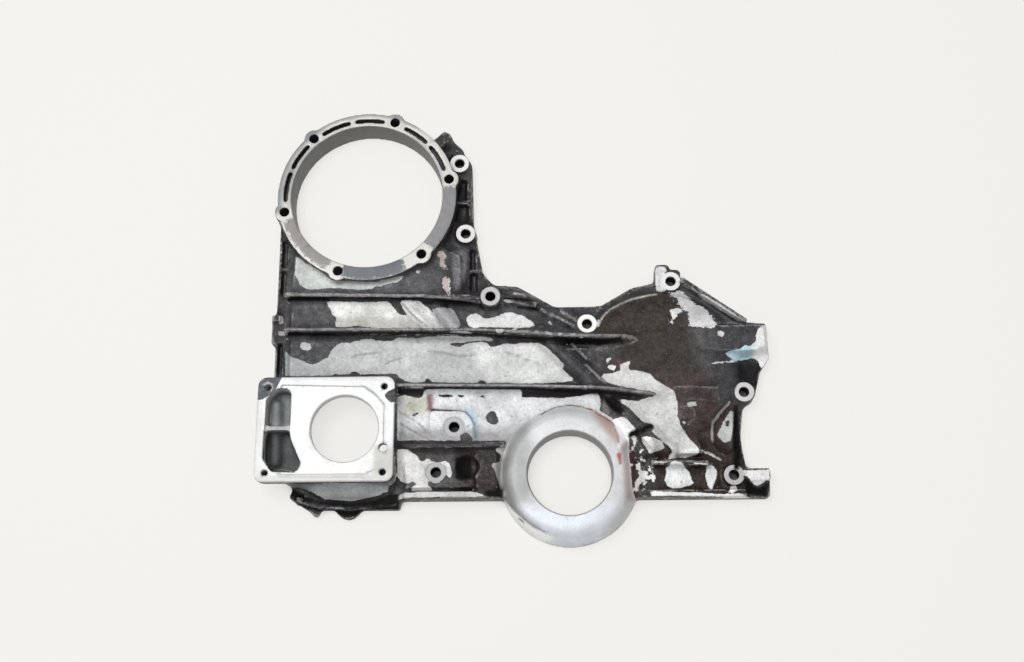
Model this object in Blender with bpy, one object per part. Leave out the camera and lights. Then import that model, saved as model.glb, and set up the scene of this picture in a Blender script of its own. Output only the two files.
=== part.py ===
"""Spur gear cover: the one-piece cast aluminium front cover of an engine's timing gears.

X runs to the right and Y upwards as the cover is seen from the front, Z points forwards,
away from the engine. All sizes below are millimetres, measured from the crankshaft axis and
from the machined rear face, which is Z = 0. The finished cover is then set down with the
middle of its bounding box on the origin and its rear face on Z = 0.
"""
import math

import bmesh
import bpy
from mathutils import Vector

MM = 0.001

# Levels above the rear gasket face.
FLANGE_FACE = 12.0
LOW_PANEL_FACE = 14.0
PANEL_FACE = 18.0
DOME_FACE = 22.0
BLOCK_FACE = 26.5
RING_FACE = 28.0
SEAL_FACE = 25.0
PAD_FACE = 36.0
BOSS_FACE = 16.0
TOWER_FACE = 27.0
RIB_TOP = 27.0
SUMP_RAIL_FACE = 20.0
GROOVE_FLOOR = 5.0

# Casting: wall thickness, side slope of the raised areas and how far a cutter overshoots.
WALL = 5.0
DRAFT = 0.18
OVERSHOOT = 3.0
ARC_STEPS = 4

# Pump ring: a round flange with six screws and six oil slots.
RING_X = -180.6
RING_Y = 256.0
RING_RADIUS = 81.5
RING_WALL = 12.8
RING_SCREW_INSET = 5.3
RING_SCREW_COUNT = 6
RING_SCREW_PHASE = math.radians(71.5)
RING_LUG_RADIUS = 9.0
RING_HOLE_RADIUS = 4.3
SLOT_WIDTH = 3.6
SLOT_DEPTH = 7.0
SLOT_INSET = 7.3
# Each slot: angle of its first end and of its last end, seen from the ring's centre.
SLOT_SPANS = [
    (19.8, 39.2), (44.8, 62.3), (80.0, 98.6), (104.5, 123.9), (138.8, 157.2), (162.6, 182.8),
]

# Crankshaft seal boss: a drafted rim with a round shoulder, around the seal's bore.
SEAL_RADIUS = 61.0
SEAL_SHOULDER_HEIGHT = 14.0
SEAL_FLAT_RADIUS = 46.0
SEAL_BORE_RADIUS = 36.2
SEAL_HUB_RADIUS = 42.0
SEAL_BACK_FACE = 3.0
SEAL_WEB_BACK = 15.0

# Gear dome at the right: a wide, flat dome over the gear behind it.
DOME_X = 83.0
DOME_Y = 96.0
DOME_RADIUS = 69.5
DOME_SHOULDER_HEIGHT = 14.0
DOME_FLAT_RADIUS = 50.0
SHOULDER_LEAN = 1.5

# Raised block at the right end, and the slope that runs up to it from the dome.
BLOCK_LEFT = 126.0
BLOCK_MIDDLE_Y = 118.3
BLOCK_BREADTH = 27.0
SLOPE_LEFT = 103.0

# Drive pad: the rectangular machined flange at the lower left, on its flared housing.
PAD_LEFT = -269.4
PAD_RIGHT = -150.2
PAD_TOP = 84.0
PAD_BOTTOM = -8.6
PAD_CORNER = 8.0
PAD_THICKNESS = 9.0
PAD_RECESS = 0.8
PAD_BORE_X = -193.3
PAD_BORE_Y = 38.0
PAD_BORE_RADIUS = 29.1
PAD_CHAMBER_REACH = 36.5
HOUSING_INSET = 5.0
HOUSING_LEFT_INSET = 2.0
HOUSING_CORNER = 8.0
BARREL_RADIUS = 58.5
BARREL_WAIST_RADIUS = 47.0
BARREL_SHOULDER = 13.0
TAPPED_RADIUS = 2.7
TAPPED_DEPTH = 14.0
TAPPED_INSET = 9.3
VENT_RADIUS = 3.6
VENT_PLACE = (-159.6, 21.2)

# Kidney-shaped oil channel in the pad, with a web across it and a core ridge on its floor.
KIDNEY_FLOOR = 17.0
CHANNEL_RIDGE_RADIUS = 5.5
CHANNEL_RIDGE = ((-255.5, 62.0), (-254.0, 12.0))
CHANNEL_WEB = 3.0
CHANNEL_WEB_Y = 39.0

# Fixing screws: M8, in bosses that run from the rear face to their spot face.
SCREW_HOLE_RADIUS = 4.4
BOSS_RADIUS = 9.2
BOSS_FOOT = 1.2
TOWER_RADIUS = 9.5
TOWER_FOOT_RADIUS = 12.5

# Ribs, the inclined oil gallery and the core passages.
RIB_WIDTH = 4.0
RIB_FOOT = 2.5
RIB_TIP_RISE = 1.5
LOW_RIB_TOP = 23.0
RIM_RIB_TOP = 15.0
GALLERY_RADIUS = 10.0
GALLERY_START = (-24.0, 125.0)
GALLERY_END = (84.0, 20.0)
DUCT_RADIUS = 9.0
DUCT_RISE = 5.0

# Small raised details on the dome and the panel.
PLATE_RISE = 1.2
SMALL_BOSS_PLACE = (103.1, 52.1)
SMALL_BOSS_RADIUS = 6.5
DIMPLE_PLACE = (-87.7, 6.5)
DIMPLE_RADIUS = 9.5
DIMPLE_DEPTH = 2.5

# Sump rail, along the bottom edge.
SUMP_FACE_Y = -20.5
SUMP_RAIL_WIDTH = 6.0
SUMP_RAIL_LEFT = -143.0
SUMP_RAIL_RIGHT = 151.0

RING_CENTRE = (RING_X, RING_Y)
RING_BORE_RADIUS = RING_RADIUS - RING_WALL
RING_SCREW_RADIUS = RING_RADIUS - RING_SCREW_INSET
SLOT_RADIUS = RING_RADIUS - SLOT_INSET
SEAL_CENTRE = (0.0, 0.0)
DOME_CENTRE = (DOME_X, DOME_Y)
PAD_BORE = (PAD_BORE_X, PAD_BORE_Y)
HOUSING_LEFT = PAD_LEFT + HOUSING_LEFT_INSET
HOUSING_RIGHT = PAD_RIGHT - HOUSING_INSET
HOUSING_TOP = PAD_TOP - HOUSING_INSET
PAD_BACK = PAD_FACE - PAD_THICKNESS

# Fixing screws, by place.
SCREWS = [
    (-97.1, 291.8),
    (-91.1, 222.4),
    (17.5, 135.5),
    (93.2, 174.6),
    (153.4, 71.9),
    (140.9, -1.4),
    (-99.8, 41.5),
    (-115.5, 2.4),
]
TOWER_SCREW = (-68.2, 158.6)

# Corners of the outlines: X, Y and the radius of each corner, anticlockwise.
FLANGE_CORNERS = [
    (-260.5, 4.0, 10), (-240.2, -8.4, 2), (-240.5, -13.0, 2), (-243.0, -17.8, 2),
    (-224.0, -29.6, 4), (-220.6, -34.0, 1), (-217.6, -32.8, 1), (-215.3, -27.6, 2),
    (-147.0, -28.2, 2), (-145.5, SUMP_FACE_Y, 1), (171.5, SUMP_FACE_Y, 3), (172.5, 4.5, 3),
    (152.5, 4.8, 4), (148.5, 30.0, 60), (152.0, 58.0, 8), (163.0, 68.0, 8), (169.0, 90.5, 6),
    (177.8, 103.5, 3), (177.0, 135.4, 2), (158.5, 137.0, 4), (102.5, 178.0, 3),
    (100.5, 187.0, 3), (79.5, 187.0, 3), (78.8, 174.5, 3), (58.0, 170.0, 20), (30.0, 153.3, 6),
    (-11.0, 152.8, 12), (-45.0, 173.0, 14), (-66.0, 173.6, 10), (-75.5, 186.0, 6),
    (-84.0, 233.0, 20), (-85.6, 292.0, 8), (-92.5, 302.0, 3), (-93.8, 306.8, 2),
    (-101.8, 314.4, 3), (-105.8, 320.6, 2), (-111.5, 322.4, 1), (-123.0, 311.5, 2),
    (-180.0, 300.0, 5), (-261.2, 256.0, 20),
]
PANEL_CORNERS = [
    (-252.5, 60.0, 6), (-150.0, 20.0, 6), (-146.5, -17.5, 3), (66.0, -17.5, 3), (68.0, 11.0, 3),
    (122.0, 10.5, 6), (117.0, 34.0, 12), (124.0, 52.0, 12), (140.0, 72.0, 8), (138.0, 98.0, 8),
    (120.0, 140.0, 10), (88.0, 163.5, 8), (48.0, 154.0, 20), (30.0, 132.0, 8), (2.0, 136.0, 8),
    (-24.0, 152.0, 8), (-50.0, 163.0, 8), (-88.0, 163.0, 8), (-90.0, 205.0, 4),
    (-106.0, 212.0, 4), (-128.0, 228.0, 5), (-230.0, 228.0, 5), (-252.5, 215.0, 6),
]
LOW_PANEL_CORNERS = [
    (50.0, -17.5, 3), (110.0, -17.5, 3), (130.0, -12.0, 5), (129.0, 6.0, 6), (117.0, 15.0, 6),
    (50.0, 15.0, 3),
]
BLOCK_CORNERS = [
    (BLOCK_LEFT, 101.2, 3), (166.0, 102.5, 3), (177.4, 108.0, 3), (176.6, 134.6, 2),
    (BLOCK_LEFT, 134.6, 3),
]
POCKET_CORNERS = [
    (143.5, 22.0, 2), (145.0, 55.0, 2), (139.0, 61.5, 3), (129.0, 51.0, 8), (123.5, 36.0, 12),
    (127.5, 23.0, 6), (136.0, 17.0, 3),
]
KIDNEY_CORNERS = [
    (-254.5, 0.8, 3), (-232.5, 0.8, 6), (-229.5, 7.5, 4), (-240.0, 31.0, 20), (-240.5, 73.5, 5),
    (-252.5, 73.5, 5), (-261.3, 64.5, 4), (-262.3, 12.0, 4),
]
PAD_STEP_CORNERS = [
    (-249.5, -4.5, 4), (-169.0, -4.5, 4), (-169.0, 8.0, 5), (-156.5, 8.0, 4), (-156.5, 62.5, 4),
    (-170.8, 63.5, 5), (-172.8, 77.5, 4), (-249.5, 77.5, 2),
]
PLATEAU_CORNERS = [
    (-122.0, 24.0, 5), (-80.5, 24.0, 4), (-81.0, 45.0, 12), (-92.0, 58.0, 12), (-122.0, 58.5, 6),
]
PUMP_LUG_FOOT = [
    (-122.4, 312.2, 1), (-114.0, 304.0, 1), (-105.0, 304.5, 3), (-101.8, 314.0, 3),
    (-105.8, 320.5, 1), (-111.5, 322.3, 1),
]
PUMP_LUG_TOP = [
    (-121.5, 312.6, 1), (-114.0, 305.8, 1), (-107.4, 312.6, 1), (-104.2, 316.6, 1),
    (-106.2, 319.6, 1), (-111.4, 321.6, 1),
]
BACK_LUG_CORNERS = [
    (-206.0, -26.0, 6), (-191.5, -40.0, 12), (-177.0, -26.0, 6), (-191.5, -12.0, 6),
]

# Straight ribs: both ends (X, Y) and the height of the top at each end.
PANEL_RIBS = [
    ((-251.0, 162.5), (-78.0, 158.0), RIB_TOP, RIB_TOP),
    ((-251.0, 128.8), (28.0, 119.5), RIB_TOP, RIB_TOP),
    ((-151.0, 77.5), (28.0, 74.0), RIB_TOP, RIB_TOP),
    ((-151.0, 25.0), (-56.0, 25.3), LOW_RIB_TOP, LOW_RIB_TOP),
    ((50.0, 33.0), (71.5, 40.0), LOW_RIB_TOP, LOW_RIB_TOP - 3),
]
# The two long ribs run on over the dome, down to its face.
DOME_RIBS = [
    ((27.0, 119.6), (61.0, 117.0), RIB_TOP, DOME_FACE + RIB_TIP_RISE),
    ((27.0, 74.0), (76.5, 66.5), RIB_TOP, DOME_FACE + RIB_TIP_RISE),
]
LOW_PANEL_RIBS = [
    ((69.5, 9.0), (119.0, 8.0), LOW_RIB_TOP, LOW_RIB_TOP),
]
# Low ribs of the rim between the tower and the screw beside the dome.
RIM_RIBS = [
    ((-58.0, 158.4), (-27.0, 153.4), RIM_RIB_TOP + 9, RIM_RIB_TOP + 3),
    ((-24.0, 149.0), (10.0, 131.5), RIM_RIB_TOP + 2, RIM_RIB_TOP + 2),
    ((-6.0, 149.0), (12.0, 138.0), RIM_RIB_TOP, RIM_RIB_TOP),
    ((31.0, 151.0), (21.0, 140.0), RIM_RIB_TOP, RIM_RIB_TOP),
]
# Inclined core passages that swell out of the panel, by both ends.
DUCTS = [
    ((-146.0, 156.0), (-124.0, 133.0)),
    ((-119.0, 156.0), (-101.0, 133.0)),
    ((-150.0, 43.0), (-113.0, 27.0)),
]
# Dark cells between the outer rim and the raised parts, by two opposite corners.
GROOVES = [
    ((-258.6, 88.0), (-254.2, 121.0)),
    ((-258.6, 166.0), (-253.8, 190.2)),
    ((-258.6, 192.8), (-253.8, 219.0)),
    ((-87.3, 168.0), (-80.2, 185.5)),
    ((-87.3, 188.0), (-82.5, 208.5)),
    ((-101.0, 234.5), (-88.8, 252.4)),
    ((-101.0, 254.8), (-90.4, 277.0)),
]


def remove_everything():
    """Empty the scene, so that the cover is the only thing in it."""
    for thing in list(bpy.data.objects):
        bpy.data.objects.remove(thing, do_unlink=True)


def on_circle(centre, radius, turn):
    """The point of a circle at an angle."""
    return Vector((centre[0] + radius * math.cos(turn), centre[1] + radius * math.sin(turn)))


def circle(centre, radius, count):
    """Points of a circle."""
    return [on_circle(centre, radius, math.tau * i / count) for i in range(count)]


def rounded(corners):
    """Turn corners (x, y, radius) into points, each corner becoming a short arc."""
    points = []
    for i, (x, y, radius) in enumerate(corners):
        corner = Vector((x, y))
        before = Vector(corners[i - 1][:2]) - corner
        after = Vector(corners[(i + 1) % len(corners)][:2]) - corner
        half_angle = before.angle(after) / 2
        room = 0.48 * min(before.length, after.length)
        tangent = min(radius / math.tan(half_angle), room)
        arc_radius = tangent * math.tan(half_angle)
        inwards = (before.normalized() + after.normalized()).normalized()
        centre = corner + inwards * (arc_radius / math.sin(half_angle))
        first = corner + before.normalized() * tangent - centre
        last = corner + after.normalized() * tangent - centre
        first_turn = math.atan2(first.y, first.x)
        sweep = -first.angle_signed(last)
        for step in range(ARC_STEPS + 1):
            points.append(on_circle(centre, arc_radius, first_turn + sweep * step / ARC_STEPS))
    return points


def inset(corners, distance):
    """Move every edge of an anticlockwise outline inwards by a distance."""
    moved = []
    for i, (x, y, radius) in enumerate(corners):
        corner = Vector((x, y))
        into = (corner - Vector(corners[i - 1][:2])).normalized()
        out = (Vector(corners[(i + 1) % len(corners)][:2]) - corner).normalized()
        into_side = Vector((-into.y, into.x))
        out_side = Vector((-out.y, out.x))
        shift = (into_side + out_side) * (distance / (1 + into_side.dot(out_side)))
        turns_left = into.cross(out) > 0
        new_radius = max(radius - distance, 0.6) if turns_left else radius + distance
        moved.append((x + shift.x, y + shift.y, new_radius))
    return moved


def box_corners(left, bottom, right, top, radius):
    """Corners of a rectangle with equal round corners."""
    return [(left, bottom, radius), (right, bottom, radius), (right, top, radius), (left, top, radius)]


def loft(name, rings):
    """Close a stack of equal rings of points, first one at the bottom, into a solid."""
    mesh = bpy.data.meshes.new(name)
    body = bmesh.new()
    layers = [[body.verts.new(Vector(point) * MM) for point in ring] for ring in rings]
    count = len(rings[0])
    for lower, upper in zip(layers, layers[1:]):
        for i in range(count):
            j = (i + 1) % count
            body.faces.new((lower[i], lower[j], upper[j], upper[i]))
    body.faces.new(list(reversed(layers[0])))
    body.faces.new(layers[-1])
    bmesh.ops.recalc_face_normals(body, faces=body.faces)
    body.to_mesh(mesh)
    body.free()
    solid = bpy.data.objects.new(name, mesh)
    bpy.context.scene.collection.objects.link(solid)
    return solid


def lifted(points, height):
    """Give flat points a height."""
    return [(point.x, point.y, height) for point in points]


def tapered(name, low_corners, high_corners, bottom, top):
    """A solid that changes from one outline to another with as many corners."""
    return loft(name, [lifted(rounded(low_corners), bottom), lifted(rounded(high_corners), top)])


def prism(name, corners, bottom, top, slope=0.0):
    """A plate of the given outline, whose sides lean in by slope per millimetre of height."""
    narrowed = inset(corners, slope * (top - bottom)) if slope else corners
    return tapered(name, corners, narrowed, bottom, top)


def turned(name, centre, profile, count):
    """A round solid from (radius, height) pairs, bottom to top."""
    return loft(name, [lifted(circle(centre, radius, count), height) for radius, height in profile])


def bore(name, centre, radius, bottom, count):
    """A round cutter from a depth to well above the highest face."""
    return turned(name, centre, [(radius, bottom), (radius, PAD_FACE + OVERSHOOT)], count)


def shouldered(radius, shoulder_height, flat_radius, face):
    """Profile of a boss: a leaning side, then a quarter of an ellipse up to its flat face."""
    reach = radius - SHOULDER_LEAN - flat_radius
    rise = face - shoulder_height
    profile = [(radius, 0), (radius - SHOULDER_LEAN, shoulder_height)]
    for turn in (math.radians(30), math.radians(55), math.radians(75), math.radians(90)):
        profile.append((flat_radius + reach * math.cos(turn), shoulder_height + rise * math.sin(turn)))
    return profile


def rib(name, start, end, bottom, start_top, end_top, width=RIB_WIDTH, foot=RIB_FOOT):
    """A straight rib with leaning sides and a top that may run down to one end."""
    start, end = Vector(start), Vector(end)
    along = (end - start).normalized()
    aside = Vector((-along.y, along.x))
    wide = aside * (width / 2 + foot)
    narrow = aside * (width / 2)
    rings = []
    for place, top in ((start, start_top), (end, end_top)):
        rings.append([(*(place - wide), bottom), (*(place + wide), bottom),
                      (*(place + narrow), top), (*(place - narrow), top)])
    return loft(name, rings)


def laid_tube(name, start, end, axis_height, radius, count):
    """A round bar with domed ends that lies level on its axis."""
    start, end = Vector(start), Vector(end)
    along = (end - start).normalized()
    aside = Vector((-along.y, along.x))
    rings = []
    for degrees in (-80, -50, -20, 20, 50, 80):
        turn = math.radians(degrees)
        place = (start if turn < 0 else end) + along * (radius * math.sin(turn))
        size = radius * math.cos(turn)
        ring = []
        for i in range(count):
            around = math.tau * i / count
            level = axis_height + size * math.sin(around)
            ring.append((*(place + aside * (size * math.cos(around))), level))
        rings.append(ring)
    return loft(name, rings)


def arc_slot(name, centre, radius, width, first, last, bottom, top):
    """A slot that follows an arc, with round ends."""
    steps = 6
    end_steps = 4
    outline = []
    for reach, begin, finish, outwards in ((radius + width / 2, first, last, 0),
                                           (radius - width / 2, last, first, math.pi)):
        for i in range(steps + 1):
            outline.append(on_circle(centre, reach, begin + (finish - begin) * i / steps))
        end_middle = on_circle(centre, radius, finish)
        for i in range(1, end_steps):
            outline.append(on_circle(end_middle, width / 2, finish + outwards + math.pi * i / end_steps))
    return loft(name, [lifted(outline, bottom), lifted(outline, top)])


def combine(target, solids, operation):
    """Add solids to the target, or cut them from it, and leave one plain mesh."""
    group = bpy.data.collections.new(operation.lower())
    bpy.context.scene.collection.children.link(group)
    for solid in solids:
        group.objects.link(solid)
    boolean = target.modifiers.new(operation.lower(), "BOOLEAN")
    boolean.operation = operation
    boolean.operand_type = "COLLECTION"
    boolean.collection = group
    boolean.solver = "EXACT"
    bpy.context.view_layer.update()
    finished = target.evaluated_get(bpy.context.evaluated_depsgraph_get())
    mesh = bpy.data.meshes.new_from_object(finished)
    target.modifiers.clear()
    target.data = mesh
    for solid in list(group.objects):
        bpy.data.objects.remove(solid, do_unlink=True)
    bpy.data.collections.remove(group)


def pad_housing():
    """The flared box behind the drive pad, with its lower left corner cut back at the flange."""
    foot = [(-261.0, 6.0, 4), (-240.5, -6.4, 3), (HOUSING_RIGHT, -6.4, HOUSING_CORNER),
            (HOUSING_RIGHT, HOUSING_TOP, HOUSING_CORNER), (-261.0, HOUSING_TOP, HOUSING_CORNER)]
    low = PAD_BOTTOM + HOUSING_INSET
    head = [(HOUSING_LEFT, low + 4, 4), (HOUSING_LEFT + 8, low, 3), (HOUSING_RIGHT, low, HOUSING_CORNER),
            (HOUSING_RIGHT, HOUSING_TOP, HOUSING_CORNER), (HOUSING_LEFT, HOUSING_TOP, HOUSING_CORNER)]
    return tapered("pad_housing", foot, head, 0, PAD_BACK + 1)


def outer_casting():
    """Every mass that stands on the perimeter flange, before it is hollowed from behind."""
    barrel = [(BARREL_RADIUS, 0), (BARREL_RADIUS, BARREL_SHOULDER),
              (BARREL_WAIST_RADIUS + 3, PAD_BACK - WALL), (BARREL_WAIST_RADIUS, PAD_BACK + 1)]
    dome = shouldered(DOME_RADIUS, DOME_SHOULDER_HEIGHT, DOME_FLAT_RADIUS, DOME_FACE)
    sump_rail = box_corners(SUMP_RAIL_LEFT, SUMP_FACE_Y, SUMP_RAIL_RIGHT,
                            SUMP_FACE_Y + SUMP_RAIL_WIDTH, 1.5)
    return [
        prism("panel", PANEL_CORNERS, 0, PANEL_FACE, DRAFT * 2),
        prism("low_panel", LOW_PANEL_CORNERS, 0, LOW_PANEL_FACE, DRAFT),
        turned("dome", DOME_CENTRE, dome, 48),
        prism("block", BLOCK_CORNERS, 0, BLOCK_FACE, DRAFT),
        rib("block_slope", (SLOPE_LEFT, BLOCK_MIDDLE_Y), (BLOCK_LEFT + WALL, BLOCK_MIDDLE_Y), 0,
            DOME_FACE - 0.5, BLOCK_FACE - 0.1, BLOCK_BREADTH - WALL, WALL),
        pad_housing(),
        turned("barrel", PAD_BORE, barrel, 40),
        prism("sump_rail", sump_rail, 0, SUMP_RAIL_FACE),
        prism("left_lug", box_corners(-267.0, 138.4, -254.0, 149.3, 2.5), 0, 15, DRAFT),
        prism("left_lug_step", box_corners(-264.7, 120.2, -254.0, 139.0, 2), 0, 12.5),
        tapered("pump_lug", PUMP_LUG_FOOT, PUMP_LUG_TOP, FLANGE_FACE - 2, 22),
        prism("pump_lug_step", box_corners(-104.5, 301.5, -95.5, 308.0, 2), 0, 15, DRAFT),
        prism("screw_block", box_corners(79.4, 165.5, 92.5, 190.6, 3), 0, BOSS_FACE),
        prism("screw_step", box_corners(90.0, 172.0, 102.4, 186.6, 3), 0, FLANGE_FACE + 1),
        prism("end_ear", box_corners(141.0, -6.0, 172.3, 4.6, 2), 0, BOSS_FACE - 1),
        prism("back_lug", BACK_LUG_CORNERS, 0, FLANGE_FACE - 3),
        prism("lower_lug", box_corners(-238.0, -23.0, -226.5, -14.5, 2), 0, BOSS_FACE, DRAFT),
        prism("panel_step", box_corners(-84.5, -16.0, -58.0, 24.0, 3), 0, PANEL_FACE + 2.5, DRAFT),
        prism("plateau", PLATEAU_CORNERS, PANEL_FACE - WALL / 2, PANEL_FACE + 3, DRAFT),
    ]


def rear_hollows():
    """The gear chamber and the passages behind the raised parts, cut from the rear face."""
    chamber_left = PAD_BORE_X - PAD_CHAMBER_REACH
    pad_hollow = box_corners(chamber_left, PAD_BOTTOM + 2 * HOUSING_INSET + WALL,
                             HOUSING_RIGHT - WALL, HOUSING_TOP - WALL, HOUSING_CORNER - 2)
    barrel_hollow = [(BARREL_RADIUS - WALL, -OVERSHOOT), (BARREL_RADIUS - WALL, BARREL_SHOULDER - 3),
                     (BARREL_WAIST_RADIUS - WALL, PAD_BACK)]
    beside = box_corners(PAD_BORE_X - BARREL_RADIUS - WALL, PAD_BORE_Y - BARREL_RADIUS - WALL,
                         chamber_left, PAD_BORE_Y + BARREL_RADIUS + WALL, 1)
    barrel_cut = turned("barrel_hollow", PAD_BORE, barrel_hollow, 40)
    combine(barrel_cut, [prism("kept", beside, -2 * OVERSHOOT, PAD_FACE)], "DIFFERENCE")
    dome_hollow = [(DOME_RADIUS - WALL - SHOULDER_LEAN, -OVERSHOOT),
                   (DOME_RADIUS - WALL - 2 * SHOULDER_LEAN, DOME_SHOULDER_HEIGHT - 2),
                   (DOME_FLAT_RADIUS - 2, DOME_FACE - WALL)]
    return [
        prism("chamber", inset(PANEL_CORNERS, WALL + 2), -OVERSHOOT, PANEL_FACE - WALL, DRAFT),
        prism("low_chamber", inset(LOW_PANEL_CORNERS, WALL), -OVERSHOOT, LOW_PANEL_FACE - WALL, DRAFT),
        turned("dome_hollow", DOME_CENTRE, dome_hollow, 48),
        prism("block_hollow", inset(BLOCK_CORNERS, WALL + 1), -OVERSHOOT, BLOCK_FACE - WALL, DRAFT),
        prism("pad_hollow", pad_hollow, -OVERSHOOT, PAD_BACK),
        barrel_cut,
    ]


def front_pockets():
    """The narrow cells beside the rim and the pocket at the right end, cut from the front."""
    cells = [prism(f"groove_{i}", box_corners(*low, *high, 1.6), GROOVE_FLOOR, PAD_FACE)
             for i, (low, high) in enumerate(GROOVES)]
    cells.append(prism("end_pocket", POCKET_CORNERS, GROOVE_FLOOR + 2, PAD_FACE, -DRAFT))
    return cells


def ring_screw_places():
    """Where the six screws of the pump ring are."""
    return [on_circle(RING_CENTRE, RING_SCREW_RADIUS, RING_SCREW_PHASE + math.tau * i / RING_SCREW_COUNT)
            for i in range(RING_SCREW_COUNT)]


def raised_details():
    """What stands on the walls: ring, seal boss, pad, screw bosses, ribs, gallery and ducts."""
    seal_boss = shouldered(SEAL_RADIUS, SEAL_SHOULDER_HEIGHT, SEAL_FLAT_RADIUS, SEAL_FACE)
    tower = [(TOWER_FOOT_RADIUS, 0), (TOWER_RADIUS, TOWER_FACE)]
    small_boss = [(SMALL_BOSS_RADIUS + 1, DOME_FACE - WALL / 2),
                  (SMALL_BOSS_RADIUS, DOME_FACE + PLATE_RISE)]
    details = [
        turned("ring", RING_CENTRE, [(RING_RADIUS, 0), (RING_RADIUS, RING_FACE)], 80),
        turned("seal_boss", SEAL_CENTRE, seal_boss, 64),
        prism("pad", box_corners(PAD_LEFT, PAD_BOTTOM, PAD_RIGHT, PAD_TOP, PAD_CORNER),
              PAD_BACK, PAD_FACE),
        turned("tower", TOWER_SCREW, tower, 24),
        laid_tube("gallery", GALLERY_START, GALLERY_END, PANEL_FACE - 1, GALLERY_RADIUS, 16),
        turned("small_boss", SMALL_BOSS_PLACE, small_boss, 20),
        prism("raised_plate", box_corners(90.0, 62.5, 131.5, 76.0, 1.5), DOME_FACE - WALL / 2,
              DOME_FACE + PLATE_RISE),
        prism("rim_gusset", [(100.5, 172.4, 1), (157.0, 133.0, 1), (159.5, 136.5, 1), (103.0, 177.0, 1)],
              0, PANEL_FACE + 4),
    ]
    ring_lug = [(RING_LUG_RADIUS, 0), (RING_LUG_RADIUS, RING_FACE)]
    for i, place in enumerate(ring_screw_places()):
        details.append(turned(f"ring_lug_{i}", place, ring_lug, 24))
    boss = [(BOSS_RADIUS + BOSS_FOOT, 0), (BOSS_RADIUS, BOSS_FACE)]
    for i, place in enumerate(SCREWS):
        details.append(turned(f"boss_{i}", place, boss, 24))
    for wall_face, ribs in ((PANEL_FACE, PANEL_RIBS), (DOME_FACE, DOME_RIBS),
                            (LOW_PANEL_FACE, LOW_PANEL_RIBS), (FLANGE_FACE, RIM_RIBS)):
        for start, end, start_top, end_top in ribs:
            details.append(rib("rib", start, end, wall_face - WALL / 2, start_top, end_top))
    for i, (start, end) in enumerate(DUCTS):
        axis_height = PANEL_FACE + DUCT_RISE - DUCT_RADIUS
        details.append(laid_tube(f"duct_{i}", start, end, axis_height, DUCT_RADIUS, 16))
    return details


def oil_channel():
    """The kidney-shaped channel in the pad, in two lengths with a web left between them."""
    top = PAD_FACE + OVERSHOOT
    channel = prism("oil_channel", KIDNEY_CORNERS, KIDNEY_FLOOR, top)
    web = box_corners(PAD_LEFT, CHANNEL_WEB_Y - CHANNEL_WEB / 2, PAD_BORE_X,
                      CHANNEL_WEB_Y + CHANNEL_WEB / 2, 0.5)
    ridge = laid_tube("channel_ridge", *CHANNEL_RIDGE, KIDNEY_FLOOR + 1, CHANNEL_RIDGE_RADIUS, 12)
    combine(channel, [prism("channel_web", web, 0, top + OVERSHOOT), ridge], "DIFFERENCE")
    return channel


def machining():
    """Bores, screw holes, slots and windows."""
    dimple = [(DIMPLE_RADIUS, PANEL_FACE - DIMPLE_DEPTH), (DIMPLE_RADIUS + 1, PAD_FACE + OVERSHOOT)]
    cuts = [
        bore("ring_bore", RING_CENTRE, RING_BORE_RADIUS, -OVERSHOOT, 80),
        bore("seal_bore", SEAL_CENTRE, SEAL_BORE_RADIUS, -OVERSHOOT, 56),
        bore("pad_bore", PAD_BORE, PAD_BORE_RADIUS, -OVERSHOOT, 48),
        bore("vent", VENT_PLACE, VENT_RADIUS, -OVERSHOOT, 16),
        turned("oil_dimple", DIMPLE_PLACE, dimple, 24),
        oil_channel(),
        prism("pad_step", PAD_STEP_CORNERS, PAD_FACE - PAD_RECESS, PAD_FACE + OVERSHOOT),
    ]
    tapped = [(x, y) for x in (PAD_LEFT + TAPPED_INSET, PAD_RIGHT - TAPPED_INSET)
              for y in (PAD_BOTTOM + TAPPED_INSET - 1, PAD_TOP - TAPPED_INSET)]
    for i, place in enumerate(tapped):
        cuts.append(bore(f"tapped_{i}", place, TAPPED_RADIUS, PAD_FACE - TAPPED_DEPTH, 12))
    for i, place in enumerate(ring_screw_places()):
        cuts.append(bore(f"ring_hole_{i}", place, RING_HOLE_RADIUS, -OVERSHOOT, 16))
    for i, (first, last) in enumerate(SLOT_SPANS):
        cuts.append(arc_slot(f"slot_{i}", RING_CENTRE, SLOT_RADIUS, SLOT_WIDTH, math.radians(first),
                             math.radians(last), RING_FACE - SLOT_DEPTH, PAD_FACE + OVERSHOOT))
    for i, place in enumerate(SCREWS + [TOWER_SCREW]):
        cuts.append(bore(f"screw_hole_{i}", place, SCREW_HOLE_RADIUS, -OVERSHOOT, 16))
    return cuts


def seal_recess():
    """The ring-shaped hollow behind the seal boss, around the seal's own hub."""
    outer = SEAL_RADIUS - WALL
    recess = turned("seal_recess", SEAL_CENTRE, [(outer, -OVERSHOOT), (outer - 3, SEAL_WEB_BACK)], 48)
    hub = turned("seal_hub", SEAL_CENTRE, [(SEAL_HUB_RADIUS, SEAL_BACK_FACE),
                                           (SEAL_HUB_RADIUS, SEAL_FACE)], 48)
    combine(recess, [hub], "DIFFERENCE")
    return recess


def paint_and_metal():
    """The cover's finish: bare cast aluminium, the colour its paint leaves where it has gone."""
    material = bpy.data.materials.new("cast_aluminium")
    material.use_nodes = True
    shader = material.node_tree.nodes["Principled BSDF"]
    shader.inputs["Base Color"].default_value = (0.45, 0.46, 0.47, 1)
    shader.inputs["Metallic"].default_value = 0.6
    shader.inputs["Roughness"].default_value = 0.55
    return material


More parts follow.
